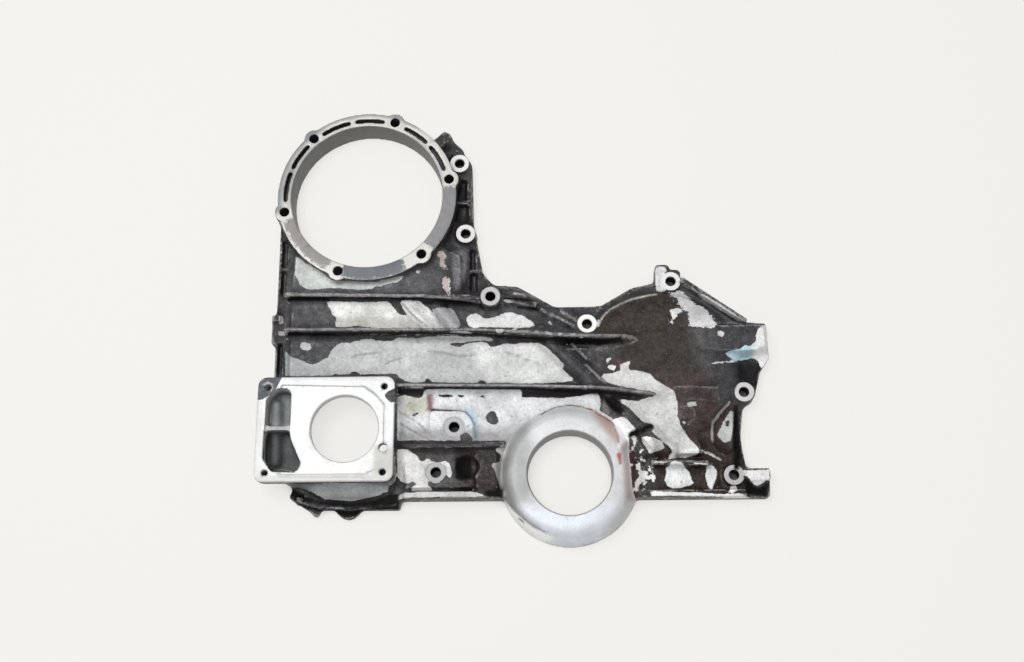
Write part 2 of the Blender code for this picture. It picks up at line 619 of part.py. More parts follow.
def set_down(cover):
    """Move the cover so that the middle of its bounding box stands on the origin."""
    xs = [vertex.co.x for vertex in cover.data.vertices]
    ys = [vertex.co.y for vertex in cover.data.vertices]
    zs = [vertex.co.z for vertex in cover.data.vertices]
    cover.location = (-(min(xs) + max(xs)) / 2, -(min(ys) + max(ys)) / 2, -min(zs))


remove_everything()
cover = prism("gear_cover", FLANGE_CORNERS, 0, FLANGE_FACE)
combine(cover, outer_casting(), "UNION")
combine(cover, rear_hollows(), "DIFFERENCE")
combine(cover, front_pockets(), "DIFFERENCE")
combine(cover, raised_details(), "UNION")
combine(cover, [seal_recess()], "DIFFERENCE")
combine(cover, machining(), "DIFFERENCE")
cover.data.materials.clear()
cover.data.materials.append(paint_and_metal())
cover.data.shade_smooth()
cover.data.set_sharp_from_angle(angle=math.radians(30))
set_down(cover)
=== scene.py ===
import math

import bmesh
import bpy
import numpy as np
from mathutils import Matrix, Vector
from mathutils.bvhtree import BVHTree
from mathutils.kdtree import KDTree


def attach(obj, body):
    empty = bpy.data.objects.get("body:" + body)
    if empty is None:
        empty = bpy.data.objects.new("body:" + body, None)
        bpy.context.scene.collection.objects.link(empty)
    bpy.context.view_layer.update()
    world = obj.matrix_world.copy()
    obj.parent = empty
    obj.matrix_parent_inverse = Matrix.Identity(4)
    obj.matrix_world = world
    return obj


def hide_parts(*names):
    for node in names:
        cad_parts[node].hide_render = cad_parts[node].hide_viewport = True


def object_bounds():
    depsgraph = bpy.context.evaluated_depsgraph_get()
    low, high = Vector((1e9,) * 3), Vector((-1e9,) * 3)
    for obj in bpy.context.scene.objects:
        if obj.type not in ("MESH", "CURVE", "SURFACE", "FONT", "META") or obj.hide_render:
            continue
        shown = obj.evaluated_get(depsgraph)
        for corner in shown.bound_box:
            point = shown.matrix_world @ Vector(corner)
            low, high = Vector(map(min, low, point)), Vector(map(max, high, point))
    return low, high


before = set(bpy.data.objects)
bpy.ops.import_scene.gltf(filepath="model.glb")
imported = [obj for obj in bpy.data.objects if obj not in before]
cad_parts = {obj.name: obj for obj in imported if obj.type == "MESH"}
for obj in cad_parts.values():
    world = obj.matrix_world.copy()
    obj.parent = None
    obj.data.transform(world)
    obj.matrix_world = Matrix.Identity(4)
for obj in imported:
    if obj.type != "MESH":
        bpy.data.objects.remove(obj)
cad_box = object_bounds()


# The view: the cover lies on its rear face and the camera stands over its lower edge, tilted
# towards the pump ring, as the photograph was taken.
MM = 0.001
CAMERA_PLACE = Vector((19.06, -349.24, 1149.05)) * MM
CAMERA_TILT = math.radians(16.713)
CAMERA_LEAN = math.radians(1.210)
CAMERA_ROLL = math.radians(-0.234)
SENSOR_WIDTH = 36.0
PHOTO_WIDTH = 1024
PHOTO_HEIGHT = 662
FOCAL_PIXELS = 1330.8

camera_data = bpy.data.cameras.new("front_view")
camera_data.sensor_width = SENSOR_WIDTH
camera_data.lens = FOCAL_PIXELS / PHOTO_WIDTH * SENSOR_WIDTH
camera = bpy.data.objects.new("front_view", camera_data)
bpy.context.scene.collection.objects.link(camera)
turn_to_camera = (Matrix.Rotation(-CAMERA_TILT, 3, "X") @ Matrix.Rotation(-CAMERA_LEAN, 3, "Y")
                  @ Matrix.Rotation(-CAMERA_ROLL, 3, "Z"))
camera.matrix_world = Matrix.Translation(CAMERA_PLACE) @ turn_to_camera.transposed().to_4x4()
bpy.context.scene.camera = camera


def photo_pixels(places):
    """Where points of the cover, in metres, fall in the photograph."""
    seen = (places - np.array(CAMERA_PLACE)) @ np.array(turn_to_camera).T
    return np.stack([PHOTO_WIDTH / 2 + FOCAL_PIXELS * seen[:, 0] / -seen[:, 2],
                     PHOTO_HEIGHT / 2 - FOCAL_PIXELS * seen[:, 1] / -seen[:, 2]], axis=1)


# The rough casting: one sand casting in aluminium, with the wax-soft inner corners that a mould
# leaves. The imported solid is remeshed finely, and only its inner corners are filled, step by step.
GRID = 1.0 * MM
SETTLE_STEPS = 2
CORNER_STEPS = 30
CORNER_FILL = 0.8
WEAR_STEPS = 8
ROUGH_FACES = 66000
# Fine raised lines of the casting, as pixels of the photograph, with how far each stands up, and
# half its width at its crest, both in millimetres.
RIDGES = [
    (2.2, 0.9, [(548, 336.5), (575, 336), (600, 335.5), (622, 335.5), (632, 337), (637, 340.3)]),
    (1.6, 0.7, [(562, 349), (590, 349), (610, 347.5), (625, 345), (634, 342), (637, 340.3)]),
    (2.2, 0.9, [(592, 386.5), (615, 387.8), (635, 390), (650, 392.5), (658, 395.6)]),
    (1.5, 0.7, [(606, 398.5), (625, 400), (642, 399), (652, 397.4), (658, 395.6)]),
    (1.8, 0.8, [(506, 291.5), (515, 292.5), (526, 294.5), (535, 299), (541, 306)]),
    (1.5, 0.8, [(499, 303.5), (512, 304.5), (528, 306), (541, 306.5)]),
    (1.1, 0.7, [(598, 325), (600, 320), (604, 314.5), (611, 308.5), (620, 303.5), (632, 298.8), (645, 295.5),
                (656, 294)]),
    (1.0, 0.7, [(573, 350), (580, 357), (590, 367), (599, 377)]),
    (0.9, 0.6, [(583, 366), (590, 373), (598, 381)]),
    (0.9, 0.5, [(674, 387.5), (690, 387.3), (704, 387.6), (718, 388.4), (719, 394), (719, 400), (704, 399.4),
                (691, 398.8)]),
    (0.8, 0.6, [(694, 413), (692.5, 408.5), (688, 406.5), (683.5, 408.5), (681.8, 413), (683.5, 418),
                (688, 420), (692.5, 417.8), (694, 413.5)]),
    (1.2, 0.8, [(618, 408), (626, 417), (634, 427), (643, 436), (652, 446), (660, 455)]),
]
RIDGE_SPREAD = 1.6
RIDGE_ROOT = 2.5


def new_piece(name, mesh):
    piece = bpy.data.objects.new(name, mesh)
    bpy.context.scene.collection.objects.link(piece)
    return piece


def apply_modifiers(piece):
    bpy.context.view_layer.update()
    finished = piece.evaluated_get(bpy.context.evaluated_depsgraph_get())
    mesh = bpy.data.meshes.new_from_object(finished)
    piece.modifiers.clear()
    piece.data = mesh


def vertex_places(mesh):
    places = np.empty(len(mesh.vertices) * 3, dtype=np.float32)
    mesh.vertices.foreach_get("co", places)
    return places.reshape(-1, 3).astype(np.float64)


def edge_ends(mesh):
    ends = np.empty(len(mesh.edges) * 2, dtype=np.int32)
    mesh.edges.foreach_get("vertices", ends)
    return ends.reshape(-1, 2)


def quad_normals(places, quads, count):
    """Vertex normals of a mesh of quads."""
    facing = np.cross(places[quads[:, 2]] - places[quads[:, 0]], places[quads[:, 3]] - places[quads[:, 1]])
    normals = np.empty((count, 3))
    for axis in range(3):
        normals[:, axis] = np.bincount(quads.ravel(), weights=np.repeat(facing[:, axis], 4), minlength=count)
    return normals / np.maximum(np.linalg.norm(normals, axis=1, keepdims=True), 1e-12)


def neighbour_mean(places, ends, count, valence):
    mean = np.empty((count, 3))
    for axis in range(3):
        column = places[:, axis]
        mean[:, axis] = (np.bincount(ends[:, 0], weights=column[ends[:, 1]], minlength=count)
                         + np.bincount(ends[:, 1], weights=column[ends[:, 0]], minlength=count)) / valence
    return mean


def fill_inner_corners(mesh):
    """Fill the inner corners, and give back how far each point lies proud of or below its
    surroundings, in metres: above zero in a corner, below zero on an edge."""
    places = vertex_places(mesh)
    ends = edge_ends(mesh)
    count = len(places)
    corners = np.empty(len(mesh.loops), dtype=np.int32)
    mesh.loops.foreach_get("vertex_index", corners)
    quads = corners.reshape(-1, 4)
    valence = np.bincount(ends.ravel(), minlength=count)
    for step in range(SETTLE_STEPS):
        places = places + 0.5 * (neighbour_mean(places, ends, count, valence) - places)
    for step in range(CORNER_STEPS):
        if step % 5 == 0:
            normals = quad_normals(places, quads, count)
        outward = ((neighbour_mean(places, ends, count, valence) - places) * normals).sum(axis=1, keepdims=True)
        places = places + CORNER_FILL * np.maximum(outward, 0) * normals
    mesh.vertices.foreach_set("co", places.astype(np.float32).ravel())
    mesh.update()
    normals = quad_normals(places, quads, count)
    smoothed = places
    for step in range(WEAR_STEPS):
        smoothed = neighbour_mean(smoothed, ends, count, valence)
    return places, ((smoothed - places) * normals).sum(axis=1)


def seen_on(tree, pixel):
    """The place on the casting that shows at this pixel of the photograph."""
    sight = turn_to_camera.transposed() @ Vector(((pixel[0] - PHOTO_WIDTH / 2) / FOCAL_PIXELS,
                                                  (PHOTO_HEIGHT / 2 - pixel[1]) / FOCAL_PIXELS, -1.0))
    return tree.ray_cast(CAMERA_PLACE, sight.normalized())[0]


def add_ridge(shell, line, rise, half_width):
    """A low bead along a line of places, rooted in the casting, with sloping sides."""
    loops = []
    for i, place in enumerate(line):
        run = (line[min(i + 1, len(line) - 1)] - line[max(i - 1, 0)])
        across = Vector((-run.y, run.x, 0)).normalized() * MM
        taper = 0.45 if i in (0, len(line) - 1) else 1.0
        crest, foot = half_width * taper, (half_width + RIDGE_SPREAD) * taper
        corners = [(-foot, -RIDGE_ROOT), (-crest, rise * taper), (crest, rise * taper), (foot, -RIDGE_ROOT)]
        loops.append([shell.verts.new(place + across * side + Vector((0, 0, up * MM))) for side, up in corners])
    for first, second in zip(loops, loops[1:]):
        for k in range(4):
            shell.faces.new((first[k], second[k], second[(k + 1) % 4], first[(k + 1) % 4]))
    shell.faces.new(loops[0])
    shell.faces.new(list(reversed(loops[-1])))


packed_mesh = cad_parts["gear_cover"].data
packed_tree = BVHTree.FromPolygons([v.co for v in packed_mesh.vertices], [p.vertices for p in packed_mesh.polygons])
shell = bmesh.new()
shell.from_mesh(packed_mesh)
for rise, half_width, line in RIDGES:
    add_ridge(shell, [seen_on(packed_tree, pixel) for pixel in line], rise, half_width)
bmesh.ops.recalc_face_normals(shell, faces=shell.faces)
casting = new_piece("casting_skin", bpy.data.meshes.new("casting_skin"))
shell.to_mesh(casting.data)
shell.free()
remesh = casting.modifiers.new("grid", "REMESH")
remesh.mode = "VOXEL"
remesh.voxel_size = GRID
apply_modifiers(casting)
grid_places, grid_hollow = fill_inner_corners(casting.data)
fewer = casting.modifiers.new("fewer", "DECIMATE")
fewer.ratio = ROUGH_FACES / (2 * len(casting.data.polygons))
apply_modifiers(casting)


# The machined places: bores, spot faces, screw holes and the ring's slots are cut after casting,
# so they are cut again, crisp and lightly chamfered, out of the softened skin. Sizes are in
# millimetres from the crankshaft's centre.
CRANK = np.array([45.812, -138.25])
FACET = 0.12
CUTTER_REACH = 3.0
RING_CENTRE = (-180.6, 256.0)
RING_RADIUS = 81.5
RING_BORE = 68.7
RING_FACE = 28.0
RING_SCREW_CIRCLE = 76.2
RING_SCREWS = [71.5 + 60 * k for k in range(6)]
RING_HOLE = 4.3
SLOT_CIRCLE = 74.2
SLOT_WIDTH = 3.6
SLOT_FLOOR = 21.0
SLOT_SPANS = [(19.8, 39.2), (44.8, 62.3), (80.0, 98.6), (104.5, 123.9), (138.8, 157.2), (162.6, 182.8)]
SEAL_CENTRE = (0.0, 0.0)
SEAL_RADIUS = 61.0
SEAL_BORE = 36.2
SEAL_FLAT = 46.0
SEAL_FACE = 25.0
PAD_FACE = 36.0
PAD_RECESS = 0.8
PAD_BORE_CENTRE = (-193.3, 38.0)
PAD_BORE = 29.1
PAD_VENT_CENTRE = (-159.6, 21.2)
PAD_VENT = 3.6
PAD_WEB = [(264.2, 424.5), (290.0, 424.5), (290.0, 431), (264.2, 431)]
PAD_WEB_TOP = 33.0
PAD_SCREWS = [(-260.1, -0.3), (-159.5, -0.3), (-260.1, 74.7), (-159.5, 74.7)]
PAD_HOLE = 2.7
PAD_HOLE_FLOOR = 22.0
PAD_STEP_CORNERS = [(-249.5, -4.5, 4), (-169, -4.5, 4), (-169, 8, 5), (-156.5, 8, 4), (-156.5, 62.5, 4),
                    (-170.8, 63.5, 5), (-172.8, 77.5, 4), (-249.5, 77.5, 2)]
SCREWS = [(-97.1, 291.8), (-91.1, 222.4), (17.5, 135.5), (93.2, 174.6), (153.4, 71.9), (140.9, -1.4),
          (-99.8, 41.5), (-115.5, 2.4), (-68.2, 158.6)]
SCREW_FACES = [16.0] * 6 + [21.0, 18.0, 27.0]
SCREW_HOLE = 4.4
SPOT_FACE = 8.5


def on_circle(centre, radius, degrees):
    turn = math.radians(degrees)
    return centre[0] + radius * math.cos(turn), centre[1] + radius * math.sin(turn)


def rounded(corners):
    """An outline of (x, y, radius) corners as points, each corner turned in six steps."""
    points = []
    for i, (x, y, radius) in enumerate(corners):
        here = Vector((x, y))
        before = (Vector(corners[i - 1][:2]) - here).normalized()
        after = (Vector(corners[(i + 1) % len(corners)][:2]) - here).normalized()
        half = before.angle(after) / 2
        middle = here + (before + after).normalized() * radius / math.sin(half)
        start = here + before * radius / math.tan(half) - middle
        finish = here + after * radius / math.tan(half) - middle
        for step in range(7):
            points.append(tuple(middle + start.slerp(finish, step / 6)))
    return points


def on_level(pixel, height):
    """The place, from the crankshaft's centre, that shows at a pixel of the photograph at this height."""
    sight = turn_to_camera.transposed() @ Vector(((pixel[0] - PHOTO_WIDTH / 2) / FOCAL_PIXELS,
                                                  (PHOTO_HEIGHT / 2 - pixel[1]) / FOCAL_PIXELS, -1.0))
    place = CAMERA_PLACE + sight * ((height * MM - CAMERA_PLACE.z) / sight.z)
    return place.x / MM - CRANK[0], place.y / MM - CRANK[1]


def add_stack(cutters, rings):
    """Add one closed solid to the cutters: rings of points of equal count, from low to high."""
    loops = [[cutters.verts.new((*((np.array(p[:2]) + CRANK) * MM), p[2] * MM)) for p in ring] for ring in rings]
    count = len(loops[0])
    for low, high in zip(loops, loops[1:]):
        for i in range(count):
            cutters.faces.new((low[i], low[(i + 1) % count], high[(i + 1) % count], high[i]))
    cutters.faces.new(list(reversed(loops[0])))
    cutters.faces.new(loops[-1])


def add_round_cut(cutters, centre, profile, count):
    """A turned cutter, from (radius, height) pairs that go upwards."""
    add_stack(cutters, [[(*on_circle(centre, radius, 360 * i / count), height) for i in range(count)]
                        for radius, height in profile])


def add_hole(cutters, centre, radius, floor, face, chamfer, count=32):
    radius = radius + FACET
    add_round_cut(cutters, centre, [(radius, floor), (radius, face - chamfer), (radius + chamfer, face),
                                    (radius + chamfer, face + CUTTER_REACH)], count)


def add_arc_slot(cutters, centre, middle, width, first, last, floor, top, chamfer):
    """A curved slot with round ends, a little wider at its mouth."""
    def outline(half, height):
        steps = 10
        points = [(*on_circle(centre, middle + half, first + (last - first) * k / steps), height)
                  for k in range(steps + 1)]
        for end, turn, back in ((last, last, 1), (first, first + 180, 1)):
            hub = on_circle(centre, middle, end)
            points += [(*on_circle(hub, half, turn + back * 30 * k), height) for k in range(1, 6)]
            if end == last:
                points += [(*on_circle(centre, middle - half, last + (first - last) * k / steps), height)
                           for k in range(steps + 1)]
        return points
    add_stack(cutters, [outline(width / 2, floor), outline(width / 2, top - chamfer),
                        outline(width / 2 + chamfer, top), outline(width / 2 + chamfer, top + CUTTER_REACH)])


def cut_away(piece, cutters, name):
    mesh = bpy.data.meshes.new(name)
    cutters.to_mesh(mesh)
    cutters.free()
    tool = new_piece(name, mesh)
    cut = piece.modifiers.new(name, "BOOLEAN")
    cut.operation = "DIFFERENCE"
    cut.solver = "MANIFOLD"
    cut.object = tool
    apply_modifiers(piece)
    bpy.data.objects.remove(tool)


faces_cut = bmesh.new()
add_stack(faces_cut, [[(x, y, height) for x, y in rounded(PAD_STEP_CORNERS)]
                      for height in (PAD_FACE - PAD_RECESS, PAD_FACE + CUTTER_REACH)])
web_corners = [on_level(pixel, PAD_FACE) for pixel in reversed(PAD_WEB)]
add_stack(faces_cut, [[(x, y, height) for x, y in web_corners] for height in (PAD_WEB_TOP, PAD_FACE + CUTTER_REACH)])
for centre, height in zip(SCREWS, SCREW_FACES):
    add_round_cut(faces_cut, centre, [(SPOT_FACE, height - 0.15), (SPOT_FACE + 0.3, height + CUTTER_REACH)], 40)
for degrees in RING_SCREWS:
    add_round_cut(faces_cut, on_circle(RING_CENTRE, RING_SCREW_CIRCLE, degrees),
                  [(5.9, RING_FACE - 0.12), (6.0, RING_FACE + CUTTER_REACH)], 32)
cut_away(casting, faces_cut, "face_cutters")

holes_cut = bmesh.new()
add_hole(holes_cut, RING_CENTRE, RING_BORE, -CUTTER_REACH, RING_FACE, 0.9, 128)
add_hole(holes_cut, SEAL_CENTRE, SEAL_BORE, -CUTTER_REACH, SEAL_FACE, 1.3, 96)
add_hole(holes_cut, PAD_BORE_CENTRE, PAD_BORE, -CUTTER_REACH, PAD_FACE - PAD_RECESS, 0.8, 80)
add_hole(holes_cut, PAD_VENT_CENTRE, PAD_VENT, -CUTTER_REACH, PAD_FACE - PAD_RECESS, 0.4)
for centre in PAD_SCREWS:
    add_hole(holes_cut, centre, PAD_HOLE, PAD_HOLE_FLOOR, PAD_FACE, 0.7, 24)
for centre, height in zip(SCREWS, SCREW_FACES):
    add_hole(holes_cut, centre, SCREW_HOLE, -CUTTER_REACH, height, 0.6)
for degrees in RING_SCREWS:
    add_hole(holes_cut, on_circle(RING_CENTRE, RING_SCREW_CIRCLE, degrees), RING_HOLE, -CUTTER_REACH,
             RING_FACE, 0.5, 24)
for first, last in SLOT_SPANS:
    add_arc_slot(holes_cut, RING_CENTRE, SLOT_CIRCLE, SLOT_WIDTH, first, last, SLOT_FLOOR, RING_FACE, 0.4)
cut_away(casting, holes_cut, "hole_cutters")


# The paint that is left: a dark engine paint, brushed or sprayed over the whole front, that has
# come off in sheets down to the metal. Each outline below is a bare place, in the pixels of the
# photograph, and is laid on the casting through the camera. A few are painted highlights laid as
# bare metal: glints on the crests of the first two ribs, the lit crest of the rail above the sump,
# the lit rim of the right pocket, the glint on the small boss and the glints on the lower flange.
PIXEL_MM = 0.9
FAR_MM = 12.0

BARE_PLACES = {
    "below_ring": [(296, 257), (300, 258), (304, 262), (310, 265), (320, 271), (326, 276), (332, 280),
                   (345, 281), (370, 282), (378, 281.5), (384, 279.5), (392, 278), (400, 275.5), (403, 276),
                   (401, 280.5), (396, 282.5), (388, 284), (380, 287), (376, 286), (372, 289), (360, 290),
                   (345, 289), (330, 288.5), (315, 289.5), (305, 289), (300, 285), (297, 279), (294, 274),
                   (295, 266)],
    "below_ring_spot": [(415, 271), (418, 269.5), (421, 271), (420, 273.5), (416.5, 273)],
    "pillar_top": [(437, 252), (441, 249.5), (446, 252), (447, 258), (444, 262), (446, 266), (445, 270),
                   (441, 268), (439, 264), (440, 258), (437, 256)],
    "pillar_foot": [(442, 278), (446, 276.5), (450, 279), (450.5, 290), (450, 297), (446, 293), (443, 288),
                    (441.5, 283)],
    "rib_glints": [(285, 296), (290, 296), (290, 298.5), (285, 298.5)],
    "band_one": [(327, 302), (332, 301), (360, 302), (388, 301.5), (392, 305), (396, 311), (401, 315),
                 (406, 314.5), (403, 309), (400, 303), (402, 300.5), (410, 300), (420, 301), (423, 304),
                 (429, 308), (434, 313), (439, 320), (444, 326), (447, 328.5), (400, 328), (380, 328.5),
                 (370, 327.5), (362, 326.5), (356, 326), (350, 327), (342, 327.5), (336, 326.5),
                 (335.5, 322), (336, 318), (332, 314), (330.5, 309), (328, 306)],
    "band_one_right": [(431, 309), (440, 307), (452, 308.5), (456, 314), (459, 320), (460, 325), (458, 328),
                       (446, 328), (441, 322), (436, 316)],
    "band_one_end": [(466, 318), (470, 314), (476, 313.5), (480, 315), (483, 318), (490, 318.5), (497, 316),
                     (504, 313), (511, 312), (518, 314.5), (524, 316), (528, 319), (533, 322), (535, 325),
                     (530, 327.5), (515, 328), (500, 327.5), (483, 327), (475, 328.5), (469, 326.5),
                     (466.5, 322)],
    "rib_two_glint": [(494, 329), (502, 328.5), (505, 330), (501, 333.5), (497, 333)],
    "rib_two_glint_b": [(512, 328.5), (517, 329), (516.5, 330.5), (512, 330)],
    "rib_two_lit_streak": [(440, 334), (455, 331), (468, 331.5), (472, 333), (466, 335), (450, 335.5)],
    "beside_tower": [(503, 299), (510, 299.5), (514, 302), (512, 303.5), (505, 302)],
    "rib_two_end": [(543, 330.5), (552, 333), (553, 335), (546, 334.5)],
    "rib_two_tip": [(568, 333), (575, 333), (577, 336), (570, 335.5)],
    "band_two": [(285, 350), (290, 356), (298, 358.5), (305, 362), (312, 364.5), (318, 362.5), (325, 358.5),
                 (329, 356), (331, 351), (333, 348), (338, 344), (341, 342.5), (350, 343), (353, 341),
                 (360, 340.5), (363, 339), (372, 338.8), (376, 340), (385, 341), (392, 340.5), (398, 337.5),
                 (405, 337.5), (412, 338), (420, 338), (425, 336.5), (440, 336), (455, 335.5), (465, 337),
                 (480, 336.5), (490, 337.5), (494, 340), (490, 341), (480, 341), (470, 341.5), (462, 343),
                 (455, 342.5), (450, 344), (453, 346), (460, 346.5), (466, 343.5), (475, 342), (484, 341),
                 (488, 344), (491, 346.5), (497, 346), (505, 343.5), (515, 344), (522, 343), (530, 342.5),
                 (538, 343), (545, 346), (551, 351), (555, 355), (560, 360), (564, 364), (563, 369),
                 (568, 374), (573, 378), (573, 381), (565, 382), (550, 383), (530, 383.5), (500, 383),
                 (487, 383.5), (484, 380.5), (480, 380), (478, 383), (465, 383), (440, 382.5), (432, 382),
                 (430, 379.5), (426, 378.5), (425, 382.5), (412, 383), (405, 381), (400, 378), (396, 374),
                 (390, 374), (360, 374.5), (357, 372), (353, 371.5), (350, 374), (338, 375), (335, 373.5),
                 (334, 375.5), (310, 376), (290, 376), (285, 376)],
    "band_two_oval": [(300, 344), (304, 341.5), (309, 343), (312, 347), (310, 350.5), (304, 351), (300, 348)],
    "band_three": [(397, 397), (404, 395), (412, 396.5), (419, 398), (423, 396), (424, 391), (428, 389),
                   (445, 388.5), (470, 389), (500, 389), (520, 389), (522, 393), (521, 397), (540, 397.5),
                   (560, 398), (580, 396), (588, 394.5), (596, 392.5), (600, 396), (601, 403), (600, 409),
                   (596, 420), (575, 425), (560, 425), (545, 430), (530, 440), (518, 450), (515, 447),
                   (507, 446), (505, 441), (404, 440.5), (397, 441)],
    "seal_notch_upper": [(495, 449), (500, 447.5), (509, 447.5), (509, 450), (506, 453), (500, 454),
                         (496, 451.5)],
    "seal_notch": [(491, 465), (494, 462.5), (500, 462), (505, 460), (510, 459.5), (508, 464), (506, 470),
                   (504, 476), (501.5, 480.5), (498.5, 481), (496, 477), (494.5, 470), (493, 467)],
    "lower_left": [(397, 449), (408, 449.5), (412, 452.5), (417, 455.5), (419, 459.5), (422, 461), (425, 461),
                   (427, 458), (430, 458.5), (431, 461), (438, 462), (446, 461), (450, 464), (451.5, 469),
                   (452, 475), (450.5, 479), (448.5, 478), (446.5, 474.5), (443, 478), (440, 482), (436, 484),
                   (431, 482), (428, 481), (428, 485), (431, 488), (433, 490.5), (420, 491), (411, 490.5),
                   (412, 487), (416, 484), (413, 481.5), (408, 484), (402, 482), (397, 477)],
    "sump_lip_left": [(396, 496), (405, 493), (425, 491.5), (470, 491.5), (480, 493), (486, 495.5), (480, 497),
                      (440, 497), (410, 498), (398, 499.5)],
    "sump_lip_right": [(650, 491), (670, 491.5), (690, 492), (712, 493), (725, 494.5), (725, 497), (700, 496.5),
                       (670, 496), (650, 496)],
    "sump_lip_end": [(725, 494), (740, 493), (750, 497), (752, 500), (735, 500.5), (724, 498)],
    "seal_right": [(612, 420), (617, 417.5), (622.5, 416.3), (626.3, 418), (630, 422), (635, 427.5), (635.6, 430),
                   (632.5, 431.3), (629.4, 432.5), (628, 436.3), (626.3, 440), (628, 442), (625, 442.5),
                   (622.5, 441.3), (622, 445), (621.3, 448.8), (618.8, 451.3), (618, 442.5), (618, 436.3),
                   (617, 431.3), (614.4, 426.3)],
    "crumb_a": [(635, 466.3), (637, 463.3), (640, 463), (641.5, 465), (641, 468.8), (644, 469.8), (646.5, 471),
                (648.2, 474.5), (650, 476), (651, 473), (653.2, 472.2), (655.3, 476), (655.6, 481.5),
                (653, 482.2), (651, 479.8), (647.5, 479.2), (645, 481.6), (642.5, 482.2), (640.4, 484),
                (639, 487.5), (637, 492.8), (635, 492.2), (632.8, 490.6), (634, 485), (635.2, 480),
                (638, 478), (638.5, 473.8), (638.5, 470.3), (636.6, 469)],
    "crumb_b": [(647.8, 470.2), (649.8, 466.6), (653.4, 466), (652.8, 469), (650, 471)],
    "crumb_c": [(639, 457.2), (641.3, 457.8), (645, 459), (646.6, 460), (644.4, 461.6), (641.6, 461.6)],
    "crumb_d": [(639, 450), (641.3, 449), (643.2, 451.3), (641.4, 454.2), (639.6, 453.4)],
    "crumb_e": [(629, 464.4), (631.9, 463.4), (633.4, 465.6), (630.6, 466.9)],
    "crumb_f": [(641.6, 482.2), (644.5, 482), (646, 483.8), (643, 485.8)],
    "crumb_g": [(642.8, 487.8), (645.2, 488.4), (645, 491), (642.8, 490.4)],
    "hook_white": [(630.6, 436), (635, 435.2), (637, 438.8), (636.7, 442.5), (634.8, 446.5), (632.8, 450.3),
                   (630, 453.6), (627.8, 452), (631, 448.6), (632.7, 445), (632.2, 441.3), (631, 438.8)],
    "right_patch": [(600, 376), (604, 373.5), (612, 373), (618, 371), (625, 370), (633, 370), (642, 371),
                    (650, 374), (655, 379), (661, 383), (668, 387), (672, 389.5), (675, 393), (676, 397),
                    (678, 402), (678, 409), (677.5, 416), (680, 423), (683, 429), (686, 434), (690, 439),
                    (694, 443), (697, 446), (700, 450), (699, 453), (693, 456), (685, 458), (675, 458),
                    (668, 459), (669, 455), (673, 452), (671, 449), (668, 446), (663, 441), (656, 436),
                    (651, 431), (655, 427), (651, 424), (645, 423), (640, 419), (632, 411), (626, 406),
                    (621, 402), (617, 400), (622, 399.5), (630, 400), (638, 401), (645, 398), (652, 397),
                    (657, 394), (650, 391), (640, 390), (628, 387.5), (615, 385), (608, 383), (603, 379)],
    "gallery_low": [(642, 437), (648, 436), (655, 438), (661, 441), (665, 447), (662, 450), (655, 452),
                    (650, 454), (646, 449), (643, 444)],
    "dome_chip_b": [(607.3, 367), (610, 364.4), (616.5, 364.8), (616, 368), (614.5, 370.8), (610, 370)],
    "dome_chip_c": [(620, 365), (623, 363), (626, 362), (629.8, 360.5), (630.5, 363), (628, 367), (629.5, 370.5),
                    (633, 373), (620, 373.5), (620.3, 369)],
    "beside_b4": [(596.5, 320), (600, 319.3), (600, 326.8), (596.5, 328)],
    "chip_hook": [(606, 359), (608.2, 358.6), (610.5, 356.8), (611.2, 358.6), (609.3, 361), (607.4, 364), (605.6, 362)],
    "rib_two_bit": [(557.3, 332.7), (562.8, 333), (562.4, 335.5), (557.7, 335.3)],
    "rib_two_crumb": [(579.8, 335.9), (583.6, 336.4), (583.4, 338), (579.8, 337.6)],
    "tower_chip": [(548, 320.7), (550.7, 320.7), (551, 323), (552.6, 324.5), (549.4, 325.3), (548.3, 323.5)],
    "right_triangle": [(670, 294), (676, 291), (681, 290), (685, 294), (690, 299), (697, 304), (703, 307),
                       (708, 311), (713, 318), (717, 325), (713, 328), (700, 327.5), (692, 327), (689, 323),
                       (688, 316), (684, 310), (679, 305), (677, 299), (672, 297)],
    "triangle_island": [(670, 309), (676, 307), (681, 309), (682, 312), (678, 314), (676, 318), (673, 320),
                        (671, 315)],
    "triangle_fleck": [(668, 321), (672, 321), (673, 324), (669, 324)],
    "gusset_strip": [(697, 294), (703, 294), (720, 304), (735, 314), (745, 322), (738, 321), (728, 315),
                     (715, 307), (703, 300)],
    "upper_boss": [(655, 268), (659, 266), (665, 266.5), (667, 270), (664, 275), (663, 283), (667, 290),
                   (662, 292), (656, 291), (655, 280)],
    "block_end": [(760, 327), (765, 324), (768, 325), (769, 340), (769, 358), (764, 366), (761, 370),
                  (759, 364), (757, 360), (752, 358), (745, 360), (735, 361), (728, 357), (725, 353),
                  (731, 350.5), (740, 349), (745, 345), (750, 346), (756, 341), (756, 334), (758, 329)],
    "block_spot": [(717, 331), (722, 330.5), (725, 333), (722, 337), (718, 335.5)],
    "block_line": [(712, 362.3), (725, 361.4), (737, 360.2), (737, 362), (725, 363), (712, 364)],
    "plate_fleck": [(687, 402), (696, 401.5), (697, 406), (688, 407)],
    "boss_glint": [(683, 420.5), (686, 422.5), (690, 423.5), (689, 425), (684, 424), (682, 422)],
    "pocket_lit_rim": [(730, 400), (731, 402.5), (726, 408.5), (719, 416.5), (714.5, 423.5), (713, 430),
                   (713, 438), (714, 441), (711.5, 441.5), (710.5, 437), (710.5, 429), (712, 421.5),
                   (717, 414), (724, 406)],
    "pocket_patch": [(719, 431), (722, 424), (724, 420), (727, 416), (730, 411), (733.5, 411), (733.5, 420),
                     (732.5, 430), (731, 441), (724, 443), (719, 438), (717, 434)],
    "ramp_line": [(701, 449), (712, 453.5), (722, 459), (721, 461), (711, 456), (700.5, 451.5)],
    "sump_patch_a": [(672, 461), (677, 460.5), (683, 462.5), (685, 467), (689, 471), (691, 476), (692, 480),
